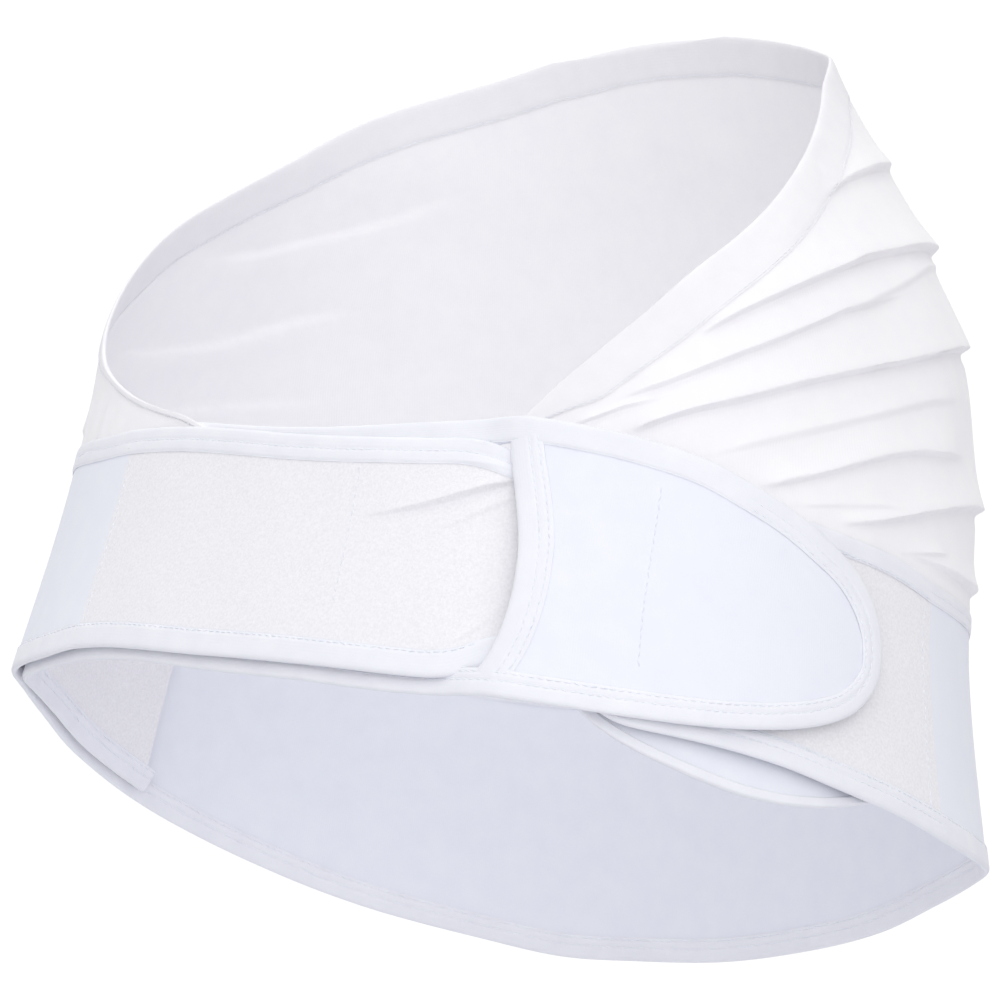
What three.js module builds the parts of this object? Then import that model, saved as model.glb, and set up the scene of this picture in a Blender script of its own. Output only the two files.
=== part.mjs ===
// Maternity support belt, fastened in the shape that it has when worn.
// Millimetres, +Z up, the front of the belt on -Y and the wearer's left on +X.
// Angles round the body start at the front and grow towards the wearer's left.
import * as THREE from 'three';

// Body form that the cloth is worn on.
const HIP_HALF_WIDTH = 165;
const DEPTH_RATIO = 0.753;
const FORM_EXPONENT = 2.25;
const BELT_HEIGHT = 320;

// Cloth walls and the layers of the closure.
const LAMINATE_WALL = 1.2;
const JERSEY_WALL = 1.0;
const BINDING_WALL = 0.7;
const BINDING_CLEARANCE = 0.58;
const LAYER_PITCH = 4.2;
const PATCH_WALL = 1.2;
const BUTT_GAP = 1.0;

// Widths of the bound edges.
const EDGE_BINDING_WIDTH = 8.5;
const TOP_BINDING_WIDTH = 6.5;
const SLOT_BINDING_WIDTH = 11;
const HEM_WIDTH = 14;
const HEM_WIDTH_AT_END = 4;
const EDGE_SETBACK = 1.3;

// Places round the body, in degrees.
const RIGHT_SEAM = -30;
const LEFT_SEAM = 98;
const SEAM_GAP = 0.08;
const END_SETBACK = 0.65;
const SLOT_START = 40;
const SLOT_END = 46.5;
const SLOT_BOW = 1.7;
const SLOT_BOW_REACH = 9;
const PATCH_START = 60.5;
const PATCH_END = 82;
const PATCH_MARGIN = 18;
const JERSEY_START = 42;
const JERSEY_END = 341;
const HEM_TAPER_START = 300;

// Angles between a wing's two ends: the even run, and extra ones where its edges turn.
const FULL_TURN = 360;
const RIGHT_WING_SPAN = [-25, 94];
const RIGHT_WING_STOPS = [38, 40, 42, 46.5, 50, 84, 90];
const TAB_WING_SPAN = [-90, 86];
const TAB_WING_STOPS = [42, 44.5, 50, 79, 83];
const LEFT_WING_SPAN = [52.5, 93];
const LEFT_WING_STOPS = [55, 58, 63];

// Steps of the faceted solids, in degrees, and rows up each cloth.
const BAND_STEP = 5;
const WING_STEP = 5;
const PATCH_ROWS = 3;
const CLOTH_ROWS = 4;
const SLOT_ROW_SHARES = [0, 0.25, 0.5, 0.75, 1];
const GATHER_STEP = 3.6;
const BACK_STEP = 7;
const RIGHT_STEP = 4.2;
const LEFT_GATHER_END = 118;
const BACK_END = 240;
const JERSEY_ROWS = 15;
const FOLD_RISE_START = 9;
const FOLD_RISE_END = 34;

// Body form: height as share of BELT_HEIGHT; half width and shift back as shares of HIP_HALF_WIDTH.
const FORM = [
  // height, half width, back
  [-0.531, 1.140, -0.180],
  [-0.375, 1.067, -0.124],
  [-0.188, 0.999, -0.065],
  [-0.031, 0.964, 0.017],
  [0.094, 0.929, 0.058],
  [0.188, 0.887, 0.052],
  [0.313, 0.782, 0.050],
  [0.406, 0.688, 0.049],
  [0.516, 0.604, 0.035],
];

// Band: angle in degrees, lower edge and upper edge as shares of BELT_HEIGHT.
const BAND = [
  // angle, low, top
  [-40, -0.176, 0.057],
  [-30, -0.171, 0.057],
  [-12, -0.180, 0.049],
  [8, -0.195, 0.031],
  [40, -0.222, 0.000],
  [57, -0.265, -0.030],
  [68, -0.287, -0.048],
  [75, -0.304, -0.062],
  [82, -0.325, -0.077],
  [90, -0.346, -0.092],
  [98, -0.369, -0.113],
  [108, -0.388, -0.128],
  [125, -0.402, -0.140],
  [137, -0.421, -0.152],
  [150, -0.448, -0.165],
  [163, -0.465, -0.173],
  [180, -0.477, -0.177],
  [197, -0.475, -0.176],
  [208, -0.469, -0.172],
  [220, -0.447, -0.160],
  [231, -0.422, -0.142],
  [239, -0.398, -0.124],
  [247, -0.369, -0.100],
  [256, -0.334, -0.068],
  [266, -0.294, -0.032],
  [276, -0.251, 0.006],
  [285, -0.211, 0.038],
  [294, -0.187, 0.055],
  [307, -0.179, 0.060],
  [320, -0.176, 0.057],
  [330, -0.171, 0.057],
  [338, -0.173, 0.054],
  [348, -0.180, 0.048],
];

// Right wing, outside up to the slot and inside after it.
const RIGHT_WING = [
  // angle, low, top, layer
  [-30, -0.171, 0.057, 1.00],
  [-22, -0.173, 0.054, 1.00],
  [-12, -0.180, 0.048, 1.00],
  [-2, -0.188, 0.039, 1.00],
  [8, -0.195, 0.030, 1.00],
  [20, -0.205, 0.021, 1.00],
  [31, -0.216, 0.015, 1.00],
  [38, -0.219, 0.011, 1.00],
  [40, -0.212, 0.007, 1.00],
  [42, -0.206, 0.002, 0.92],
  [46.5, -0.202, -0.010, 0.28],
  [50, -0.214, -0.018, 0.00],
  [55, -0.257, -0.032, 0.00],
  [59, -0.282, -0.044, 0.00],
  [66, -0.312, -0.066, 0.00],
  [72, -0.331, -0.090, 0.00],
  [78, -0.339, -0.114, 0.00],
  [84, -0.338, -0.140, 0.00],
  [90, -0.328, -0.168, 0.00],
  [94, -0.306, -0.199, 0.00],
  [95.5, -0.284, -0.226, 0.00],
];

// Left wing under the tab, from its hidden end to the side seam.
const LEFT_WING = [
  // angle, low, top
  [51.5, -0.190, -0.110],
  [52.5, -0.216, -0.080],
  [55, -0.246, -0.046],
  [58, -0.266, -0.031],
  [63, -0.277, -0.038],
  [68, -0.287, -0.048],
  [75, -0.304, -0.062],
  [82, -0.325, -0.077],
  [90, -0.346, -0.092],
  [98, -0.369, -0.113],
];

// Tab wing: root inside the wearer's right, slot, then the rounded tab outside the left wing.
const TAB_WING = [
  // angle, low, top, layer
  [-95, -0.288, -0.044, 0.00],
  [-84, -0.244, 0.002, 0.00],
  [-75, -0.207, 0.034, 0.00],
  [-66, -0.188, 0.052, 0.00],
  [-53, -0.183, 0.060, 0.00],
  [-40, -0.181, 0.063, 0.00],
  [-30, -0.179, 0.064, 0.00],
  [-18, -0.183, 0.061, 0.00],
  [-6, -0.194, 0.051, 0.00],
  [5, -0.204, 0.043, 0.00],
  [17, -0.214, 0.038, 0.00],
  [31, -0.229, 0.036, 0.00],
  [38, -0.235, 0.035, 0.00],
  [40, -0.237, 0.034, 0.02],
  [42, -0.240, 0.032, 0.25],
  [44.5, -0.243, 0.029, 0.82],
  [46.5, -0.247, 0.025, 1.40],
  [50, -0.252, 0.019, 2.00],
  [57, -0.262, 0.005, 2.00],
  [65, -0.272, -0.018, 2.00],
  [70, -0.275, -0.041, 2.00],
  [75, -0.274, -0.065, 2.00],
  [79, -0.269, -0.089, 2.00],
  [83, -0.257, -0.115, 2.00],
  [86, -0.235, -0.148, 2.00],
  [87.4, -0.213, -0.178, 2.00],
];

// Slot cut in the tab wing.
const SLOT_LOW = -0.219;
const SLOT_TOP = 0.006;

// Jersey panel: upper edge and the layer its cloth lies in.
const JERSEY = [
  // angle, top, layer
  [42, 0.036, -0.90],
  [44, 0.052, -0.88],
  [47, 0.074, -0.76],
  [53, 0.110, -0.10],
  [58, 0.140, 0.45],
  [63, 0.172, 0.85],
  [70, 0.212, 1.00],
  [75, 0.243, 1.00],
  [81, 0.283, 1.00],
  [87, 0.323, 1.00],
  [93, 0.361, 1.00],
  [100, 0.404, 1.00],
  [110, 0.438, 1.00],
  [122, 0.461, 1.00],
  [138, 0.489, 1.00],
  [154, 0.509, 1.00],
  [170, 0.521, 1.00],
  [191, 0.525, 1.00],
  [209, 0.517, 1.00],
  [224, 0.500, 1.00],
  [242, 0.474, 1.00],
  [254, 0.444, 1.00],
  [265, 0.401, 1.00],
  [277, 0.353, 1.00],
  [288, 0.304, 1.00],
  [297, 0.248, 1.00],
  [304, 0.196, 1.00],
  [311, 0.150, 1.00],
  [318, 0.121, 1.00],
  [326, 0.096, 1.00],
  [335, 0.077, 1.00],
  [341, 0.069, 1.00],
];
const JERSEY_LOW_AT_END = 0.009;
const JERSEY_LOW_TURN = 56;

// Gathered folds of the jersey: two ends of each crease, heights as shares of BELT_HEIGHT,
// rise and half width in millimetres.
const FOLDS = [
  // angle, height, angle, height, rise, half width
  [86, 0.278, 104, 0.330, 3.4, 6],
  [64, 0.128, 103, 0.240, 4.4, 7],
  [74, 0.128, 104, 0.216, 1.6, 5],
  [55, 0.068, 82, 0.158, 3.2, 7],
  [56, 0.034, 104, 0.142, 4.6, 8],
  [65, 0.010, 98, 0.084, 2.6, 7],
  [72, -0.020, 100, 0.034, 3.2, 7],
  [81, -0.054, 107, -0.014, 3.6, 7],
  [264, 0.300, 248, 0.352, 3.0, 9],
  [278, 0.196, 254, 0.232, 3.4, 10],
  [287, 0.120, 262, 0.132, 3.0, 9],
  [290, 0.082, 268, 0.062, 2.4, 8],
];

const RADIANS = Math.PI / 180;
const LAMINATE = new THREE.Color('#eef1fb');
const LOOP_CLOTH = new THREE.Color('#f4f3f6');
const JERSEY_CLOTH = new THREE.Color('#f3f0f8');
const BINDING_CLOTH = new THREE.Color('#f1f3fc');
const HOOK_CLOTH = new THREE.Color('#e9ebf2');

/** Value of one table column at an angle or height, by cubic pieces through the rows. */
function sample(table, column, key) {
  const last = table.length - 1;
  if (key <= table[0][0]) return table[0][column];
  if (key >= table[last][0]) return table[last][column];
  let row = 0;
  while (table[row + 1][0] < key) row += 1;
  const slope = (k) => {
    const before = table[Math.max(k - 1, 0)];
    const after = table[Math.min(k + 1, last)];
    return (after[column] - before[column]) / (after[0] - before[0]);
  };
  const span = table[row + 1][0] - table[row][0];
  const t = (key - table[row][0]) / span;
  const squared = t * t;
  const cubed = squared * t;
  return (2 * cubed - 3 * squared + 1) * table[row][column]
    + (cubed - 2 * squared + t) * span * slope(row)
    + (3 * squared - 2 * cubed) * table[row + 1][column]
    + (cubed - squared) * span * slope(row + 1);
}

/** Value of one table column at an angle, by straight pieces through the rows. */
function straight(table, column, key) {
  const last = table.length - 1;
  if (key <= table[0][0]) return table[0][column];
  if (key >= table[last][0]) return table[last][column];
  let row = 0;
  while (table[row + 1][0] < key) row += 1;
  const t = (key - table[row][0]) / (table[row + 1][0] - table[row][0]);
  return table[row][column] + (table[row + 1][column] - table[row][column]) * t;
}

/** Rise from 0 to 1 between two values, with level ends. */
function ease(low, high, value) {
  const t = Math.min(Math.max((value - low) / (high - low), 0), 1);
  return t * t * (3 - 2 * t);
}

/** Point of the body form. */
function formPoint(angle, height) {
  const share = height / BELT_HEIGHT;
  const halfWidth = HIP_HALF_WIDTH * sample(FORM, 1, share);
  const halfDepth = DEPTH_RATIO * halfWidth;
  const side = Math.sin(angle * RADIANS);
  const front = -Math.cos(angle * RADIANS);
  const sum = Math.abs(side / halfWidth) ** FORM_EXPONENT
    + Math.abs(front / halfDepth) ** FORM_EXPONENT;
  const radius = sum ** (-1 / FORM_EXPONENT);
  const back = HIP_HALF_WIDTH * sample(FORM, 2, share);
  return new THREE.Vector3(radius * side, radius * front + back, height);
}

/** Directions along the form at a point: round, up and outward, with the millimetres per degree. */
function formFrame(angle, height) {
  const round = formPoint(angle + 0.5, height).sub(formPoint(angle - 0.5, height));
  const up = formPoint(angle, height + 1).sub(formPoint(angle, height - 1)).multiplyScalar(0.5);
  const outward = new THREE.Vector3().crossVectors(round, up).normalize();
  return { perDegree: round.length(), perHeight: up.length(), outward };
}

/** Point held off the body form along its outward direction. */
function placed(angle, height, offset) {
  return formPoint(angle, height).addScaledVector(formFrame(angle, height).outward, offset);
}

/** Closed mesh from a list of points and triangles. */
function solid(points, triangles) {
  const geometry = new THREE.BufferGeometry();
  const positions = new Float32Array(points.flatMap((p) => [p.x, p.y, p.z]));
  geometry.setAttribute('position', new THREE.BufferAttribute(positions, 3));
  geometry.setIndex(triangles.flat());
  geometry.computeVertexNormals();
  return geometry;
}

/** Cloth sheet with a wall: a grid of cells, some of which may be left open. */
function sheet(columns, rows, place, filled = () => true) {
  const points = [];
  const index = (i, j, k) => (i * rows + j) * 2 + k;
  for (let i = 0; i < columns; i += 1) {
    for (let j = 0; j < rows; j += 1) {
      points.push(place(i, j, -0.5), place(i, j, 0.5));
    }
  }
  const present = (i, j) => i >= 0 && j >= 0 && i < columns - 1 && j < rows - 1 && filled(i, j);
  const triangles = [];
  const quad = (a, b, c, d) => triangles.push([a, b, c], [a, c, d]);
  for (let i = 0; i < columns - 1; i += 1) {
    for (let j = 0; j < rows - 1; j += 1) {
      if (!present(i, j)) continue;
      quad(index(i, j, 1), index(i + 1, j, 1), index(i + 1, j + 1, 1), index(i, j + 1, 1));
      quad(index(i, j, 0), index(i, j + 1, 0), index(i + 1, j + 1, 0), index(i + 1, j, 0));
      if (!present(i, j - 1)) {
        quad(index(i, j, 0), index(i + 1, j, 0), index(i + 1, j, 1), index(i, j, 1));
      }
      if (!present(i, j + 1)) {
        quad(index(i, j + 1, 0), index(i, j + 1, 1), index(i + 1, j + 1, 1), index(i + 1, j + 1, 0));
      }
      if (!present(i - 1, j)) {
        quad(index(i, j, 0), index(i, j, 1), index(i, j + 1, 1), index(i, j + 1, 0));
      }
      if (!present(i + 1, j)) {
        quad(index(i + 1, j, 0), index(i + 1, j + 1, 0), index(i + 1, j + 1, 1), index(i + 1, j, 1));
      }
    }
  }
  const used = [...new Set(triangles.flat())].sort((a, b) => a - b);
  const renumbered = new Map(used.map((old, fresh) => [old, fresh]));
  return solid(used.map((old) => points[old]), triangles.map((t) => t.map((v) => renumbered.get(v))));
}

/** Angles from start to end in even steps no longer than the given one, with extra stops kept. */
function stops(start, end, step, extra = []) {
  const count = Math.ceil((end - start) / step);
  const even = Array.from({ length: count + 1 }, (_, k) => start + ((end - start) * k) / count);
  const kept = even.filter((angle) => extra.every((stop) => Math.abs(stop - angle) > step * 0.3));
  return [...new Set([...kept, start, end, ...extra])].sort((a, b) => a - b);
}

/** Bound edge: a folded strip round the rim of a cloth, along a path of [angle, height] points.
 *  The cloth lies to the left of the path; seat gives the offset of its middle. */
function binding(path, seat, cloth, wall, width) {
  const half = cloth / 2 + BINDING_CLEARANCE;
  const points = [];
  path.forEach(([angle, height], k) => {
    const [a0, h0] = path[Math.max(k - 1, 0)];
    const [a1, h1] = path[Math.min(k + 1, path.length - 1)];
    const { perDegree, perHeight } = formFrame(angle, height);
    const along = new THREE.Vector2((a1 - a0) * perDegree, (h1 - h0) * perHeight).normalize();
    const inward = new THREE.Vector2(-along.y, along.x);
    const reach = typeof width === 'function' ? width(angle) : width;
    const profile = [
      [reach, half + wall],
      [0, half + wall],
      [0, -half - wall],
      [reach, -half - wall],
      [reach, -half],
      [wall, -half],
      [wall, half],
      [reach, half],
    ];
    for (const [inset, lift] of profile) {
      const a = angle + (inward.x * inset) / perDegree;
      const h = height + (inward.y * inset) / perHeight;
      points.push(placed(a, h, seat(a, h) + lift));
    }
  });
  const size = 8;
  const triangles = [];
  for (let k = 0; k < path.length - 1; k += 1) {
    for (let e = 0; e < size; e += 1) {
      const a = k * size + e;
      const b = k * size + ((e + 1) % size);
      triangles.push([a, b, b + size], [a, b + size, a + size]);
    }
  }
  const caps = [[0, 1, 6], [0, 6, 7], [1, 2, 6], [2, 5, 6], [2, 3, 5], [3, 4, 5]];
  const end = (path.length - 1) * size;
  for (const [a, b, c] of caps) {
    triangles.push([a, c, b], [end + a, end + b, end + c]);
  }
  return solid(points, triangles);
}

/** Lower and upper edges of the band, in millimetres. */
const bandLow = (angle) => BELT_HEIGHT * sample(BAND, 1, angle);
const bandTop = (angle) => BELT_HEIGHT * sample(BAND, 2, angle);

/** Sideways bow of the slot's edge and the cloth near it. */
function slotBow(angle, height) {
  const low = BELT_HEIGHT * SLOT_LOW;
  const top = BELT_HEIGHT * SLOT_TOP;
  const share = Math.min(Math.max((height - low) / (top - low), 0), 1);
  const near = 1 - ease(0, SLOT_BOW_REACH, Math.abs(angle - SLOT_END));
  return SLOT_BOW * near * Math.sin(Math.PI * share);
}

/** Jersey's rise at a point where gathered folds cross it. */
function foldRise(angle, height) {
  const above = height - jerseyLow(angle);
  const below = BELT_HEIGHT * sample(JERSEY, 1, angle) - height;
  const fade = ease(FOLD_RISE_START, FOLD_RISE_END, above) * ease(HEM_WIDTH * 1.45, HEM_WIDTH * 2.3, below);
  let rise = 0;
  for (const [a0, s0, a1, s1, lift, halfWidth] of FOLDS) {
    const t = (angle - a0) / (a1 - a0);
    const line = BELT_HEIGHT * (s0 + (s1 - s0) * t);
    const ends = ease(-0.15, 0.25, t) * (1 - ease(0.85, 1.3, t));
    const across = (height - line) / halfWidth;
    rise += lift * ends * Math.exp(-across * across);
  }
  return rise * fade;
}

/** Lower edge of the jersey, just above the bound edge it is sewn to. */
function jerseyLow(angle) {
  const seam = bandTop(angle) + BUTT_GAP;
  const behind = BELT_HEIGHT * JERSEY_LOW_AT_END;
  return behind + (seam - behind) * ease(JERSEY_LOW_TURN - 4, JERSEY_LOW_TURN + 4, angle);
}

const jerseyTop = (angle) => BELT_HEIGHT * sample(JERSEY, 1, angle);
const jerseySeat = (angle, height) => LAYER_PITCH * straight(JERSEY, 2, angle) + foldRise(angle, height);

/** Laminated band round the back and both sides. */
function supportBand() {
  const angles = stops(LEFT_SEAM + SEAM_GAP, 360 + RIGHT_SEAM - SEAM_GAP, BAND_STEP);
  const rows = CLOTH_ROWS;
  return sheet(angles.length, rows, (i, j, side) => {
    const low = bandLow(angles[i]) + EDGE_SETBACK;
    const top = bandTop(angles[i]) - EDGE_SETBACK;
    return placed(angles[i], low + ((top - low) * j) / (rows - 1), LAYER_PITCH + side * LAMINATE_WALL);
  });
}

/** Edge of a wing table drawn in by the setback, square to the edge's own slope. */
function insetEdge(table, column, angle) {
  const height = BELT_HEIGHT * sample(table, column, angle);
  const rise = BELT_HEIGHT * (sample(table, column, angle + 0.3) - sample(table, column, angle - 0.3));
  const slope = rise / (0.6 * formFrame(angle, height).perDegree);
  const sign = column === 1 ? 1 : -1;
  return height + sign * EDGE_SETBACK * Math.hypot(1, slope);
}

/** Sheet between the low and top columns of a wing table. */
function wingSheet(table, seat, angles) {
  const rows = CLOTH_ROWS;
  return sheet(angles.length, rows, (i, j, side) => {
    const low = insetEdge(table, 1, angles[i]);
    const top = insetEdge(table, 2, angles[i]);
    const height = low + ((top - low) * j) / (rows - 1);
    return placed(angles[i], height, seat(angles[i]) + side * LAMINATE_WALL);
  });
}

const rightSeat = (angle) => LAYER_PITCH * straight(RIGHT_WING, 3, angle);
const tabSeat = (angle) => LAYER_PITCH * straight(TAB_WING, 3, angle);

/** Tab wing with the slot left open between two bridges. */
function tabWing(angles) {
  const rows = SLOT_ROW_SHARES.length + 2;
  const place = (i, j, side) => {
    const angle = angles[i];
    const low = insetEdge(TAB_WING, 1, angle);
    const top = insetEdge(TAB_WING, 2, angle);
    const reach = Math.min((top - low) * 0.24, Math.max(BELT_HEIGHT * SLOT_LOW - low, 2));
    const crest = Math.min((top - low) * 0.24, Math.max(top - BELT_HEIGHT * SLOT_TOP, 2));
    const middle = low + reach + (top - crest - low - reach) * SLOT_ROW_SHARES[j - 1];
    const height = j === 0 ? low : j === rows - 1 ? top : middle;
    const bowed = angle + slotBow(angle, height);
    return placed(bowed, height, tabSeat(bowed) + side * LAMINATE_WALL);
  };
  const inSlot = (i) => angles[i] > SLOT_START - 0.1 && angles[i + 1] < SLOT_END + 0.1;
  return sheet(angles.length, rows, place, (i, j) => !(inSlot(i) && j > 0 && j < rows - 2));
}

/** Path round the low edge, the far end and back along the top edge of a wing table. */
function rimPath(table, angles) {
  const low = angles.map((a) => [a, BELT_HEIGHT * sample(table, 1, a)]);
  const top = angles.map((a) => [a, BELT_HEIGHT * sample(table, 2, a)]).reverse();
  return [...low, ...top];
}

/** Thin patch of hook cloth between the tab and the left wing. */
function hookPatch() {
  const angles = stops(PATCH_START, PATCH_END, WING_STEP);
  return sheet(angles.length, PATCH_ROWS, (i, j, side) => {
    const low = BELT_HEIGHT * sample(TAB_WING, 1, angles[i]) + PATCH_MARGIN;
    const top = BELT_HEIGHT * sample(TAB_WING, 2, angles[i]) - PATCH_MARGIN;
    const height = low + ((top - low) * j) / (PATCH_ROWS - 1);
    return placed(angles[i], height, 1.5 * LAYER_PITCH + side * PATCH_WALL);
  });
}

/** Stretch jersey above the band, gathered at the sides. */
function jerseyPanel(angles) {
  return sheet(angles.length, JERSEY_ROWS, (i, j, side) => {
    const low = jerseyLow(angles[i]);
    const top = jerseyTop(angles[i]) - EDGE_SETBACK;
    const height = low + ((top - low) * j) / (JERSEY_ROWS - 1);
    return placed(angles[i], height, jerseySeat(angles[i], height) + side * JERSEY_WALL);
  });
}

/** Hem width, narrowing where the jersey runs out over the right wing. */
function hemWidth(angle) {
  const left = HEM_WIDTH_AT_END + (HEM_WIDTH - HEM_WIDTH_AT_END) * ease(JERSEY_START - 1, 50, angle);
  const right = 1 - ease(HEM_TAPER_START, JERSEY_END - 10, angle);
  return Math.min(left, HEM_WIDTH_AT_END + (HEM_WIDTH - HEM_WIDTH_AT_END) * right);
}

const group = new THREE.Group();
group.name = 'maternity_support_belt';

/** Adds one named piece with its own material. */
function add(name, geometry, colour, roughness) {
  const material = new THREE.MeshStandardMaterial({ color: colour, roughness, metalness: 0 });
  material.name = `${name}_cloth`;
  const mesh = new THREE.Mesh(geometry, material);
  mesh.name = name;
  group.add(mesh);
}

const layerOne = () => LAYER_PITCH;
const rightInner = stops(...RIGHT_WING_SPAN, WING_STEP, RIGHT_WING_STOPS);
const tabInner = stops(...TAB_WING_SPAN, WING_STEP, [SLOT_START, ...TAB_WING_STOPS, SLOT_END]);
const leftInner = stops(...LEFT_WING_SPAN, WING_STEP, LEFT_WING_STOPS);
const bandStops = stops(LEFT_SEAM + SEAM_GAP, FULL_TURN + RIGHT_SEAM - SEAM_GAP, BAND_STEP);
const bandBottomPath = bandStops.map((a) => [a, bandLow(a)]);
const bandTopPath = bandStops.map((a) => [a, bandTop(a)]).reverse();
const rightStart = RIGHT_SEAM + SEAM_GAP;
const rightEnd = RIGHT_WING[RIGHT_WING.length - 1][0];
const tabStart = TAB_WING[0][0];
const tabEnd = TAB_WING[TAB_WING.length - 1][0];
const leftStart = LEFT_WING[0][0];
const leftEnd = LEFT_SEAM - SEAM_GAP;
const rightRim = rimPath(RIGHT_WING, [rightStart, ...rightInner, rightEnd]);
const tabRim = rimPath(TAB_WING, [tabStart, ...tabInner, tabEnd]);
const leftAngles = [leftStart, ...leftInner, leftEnd];
const leftRim = [
  ...leftAngles.toReversed().map((a) => [a, BELT_HEIGHT * sample(LEFT_WING, 2, a)]),
  ...leftAngles.map((a) => [a, BELT_HEIGHT * sample(LEFT_WING, 1, a)]),
];
const slotRim = [0.88, 0.76, 0.64, 0.5, 0.36, 0.2, 0.02].map((share) => {
  const height = BELT_HEIGHT * (SLOT_LOW + (SLOT_TOP - SLOT_LOW) * share);
  return [SLOT_END - 0.5 + slotBow(SLOT_END, height), height];
});
const jerseyStops = [
  ...stops(JERSEY_START, LEFT_GATHER_END, GATHER_STEP, [44, 47, 50, 53, 58, 63]),
  ...stops(LEFT_GATHER_END + BACK_STEP, BACK_END, BACK_STEP),
  ...stops(BACK_END + RIGHT_STEP, JERSEY_END, RIGHT_STEP),
];
const hemPath = jerseyStops.map((a) => [a, jerseyTop(a)]).reverse();

add('support_band', supportBand(), LAMINATE, 0.8);
add('band_bottom_binding', binding(bandBottomPath, layerOne, LAMINATE_WALL, BINDING_WALL, EDGE_BINDING_WIDTH),
  BINDING_CLOTH, 0.75);
add('band_top_binding', binding(bandTopPath, layerOne, LAMINATE_WALL, BINDING_WALL, TOP_BINDING_WIDTH),
  BINDING_CLOTH, 0.75);
add('right_wing', wingSheet(RIGHT_WING, rightSeat, [rightStart, ...rightInner, rightEnd - END_SETBACK]),
  LOOP_CLOTH, 0.95);
add('right_wing_binding', binding(rightRim, rightSeat, LAMINATE_WALL, BINDING_WALL, TOP_BINDING_WIDTH),
  BINDING_CLOTH, 0.75);
add('left_wing', wingSheet(LEFT_WING, layerOne, [leftStart + END_SETBACK, ...leftInner, leftEnd]),
  LOOP_CLOTH, 0.95);
add('left_wing_binding', binding(leftRim, layerOne, LAMINATE_WALL, BINDING_WALL, TOP_BINDING_WIDTH),
  BINDING_CLOTH, 0.75);
add('tab_wing', tabWing([tabStart + SEAM_GAP, ...tabInner, tabEnd - END_SETBACK]), LAMINATE, 0.8);
add('tab_wing_binding', binding(tabRim, tabSeat, LAMINATE_WALL, BINDING_WALL, EDGE_BINDING_WIDTH),
  BINDING_CLOTH, 0.75);
add('slot_binding', binding(slotRim, tabSeat, LAMINATE_WALL, BINDING_WALL, SLOT_BINDING_WIDTH),
  BINDING_CLOTH, 0.75);
add('hook_patch', hookPatch(), HOOK_CLOTH, 0.95);
add('jersey_panel', jerseyPanel(jerseyStops), JERSEY_CLOTH, 0.85);
add('jersey_hem', binding(hemPath, jerseySeat, JERSEY_WALL, BINDING_WALL, hemWidth), JERSEY_CLOTH, 0.85);

export default group;
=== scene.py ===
"""Looks of a maternity support belt, fastened in the shape that it has when worn.

Angles go round the body in degrees, from the front towards the wearer's left; heights are in millimetres.
Every piece is worked out on the body form in millimetres and handed to Blender in metres.
"""
import logging
import math
from collections.abc import Callable, Sequence
from dataclasses import dataclass, field, replace
from enum import Enum

import bpy
import numpy as np
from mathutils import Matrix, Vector
from mathutils.geometry import tessellate_polygon


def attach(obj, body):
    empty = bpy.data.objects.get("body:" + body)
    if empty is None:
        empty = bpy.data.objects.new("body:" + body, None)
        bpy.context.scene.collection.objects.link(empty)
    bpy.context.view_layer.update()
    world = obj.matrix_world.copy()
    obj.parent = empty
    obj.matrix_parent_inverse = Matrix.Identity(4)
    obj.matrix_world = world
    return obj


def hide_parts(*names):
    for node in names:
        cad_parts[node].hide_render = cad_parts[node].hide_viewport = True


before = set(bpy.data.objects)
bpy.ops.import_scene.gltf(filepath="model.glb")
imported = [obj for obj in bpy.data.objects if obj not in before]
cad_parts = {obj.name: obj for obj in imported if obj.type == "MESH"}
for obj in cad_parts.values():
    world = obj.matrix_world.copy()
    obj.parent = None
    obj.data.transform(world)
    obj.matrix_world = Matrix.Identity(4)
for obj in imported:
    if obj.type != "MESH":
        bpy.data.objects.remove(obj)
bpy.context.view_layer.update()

LOG = logging.getLogger("support_belt")
MM = 0.001
BODY = "root"
BELT_HEIGHT = 320.0  # the tables' heights are shares of it
LAYER_PITCH = 4.2  # from one layer of cloth to the next
SLOT_END = 46.5  # angle of the slot's side towards the tab, before it is drawn to its stitched edge
DEGREE_MM = 2.6  # about what a degree measures round the body
Array = np.ndarray
Field = Callable[[Array, Array], Array]

FORM_ROWS = (  # height share, half width share, shift back share
    (-0.531, 1.140, -0.180), (-0.375, 1.067, -0.124), (-0.188, 0.999, -0.065),
    (-0.031, 0.964, 0.017), (0.094, 0.929, 0.058), (0.188, 0.887, 0.052),
    (0.313, 0.782, 0.050), (0.406, 0.688, 0.049), (0.516, 0.604, 0.035),
)
BAND_ROWS = (  # angle, low share, top share
    (-40, -0.176, 0.057), (-30, -0.171, 0.057), (-12, -0.180, 0.049), (8, -0.195, 0.031),
    (40, -0.222, 0.000), (57, -0.265, -0.030), (68, -0.287, -0.048), (75, -0.304, -0.062),
    (82, -0.325, -0.077), (90, -0.346, -0.092), (98, -0.369, -0.113), (108, -0.388, -0.128),
    (125, -0.402, -0.140), (137, -0.421, -0.152), (150, -0.448, -0.165), (163, -0.465, -0.173),
    (180, -0.477, -0.177), (197, -0.475, -0.176), (208, -0.469, -0.172), (220, -0.447, -0.160),
    (231, -0.422, -0.142), (239, -0.398, -0.124), (247, -0.369, -0.100), (256, -0.334, -0.068),
    (266, -0.294, -0.032), (276, -0.251, 0.006), (285, -0.211, 0.038), (294, -0.187, 0.055),
    (307, -0.179, 0.060), (320, -0.176, 0.057), (330, -0.171, 0.057), (338, -0.173, 0.054),
    (348, -0.180, 0.048),
)
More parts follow.
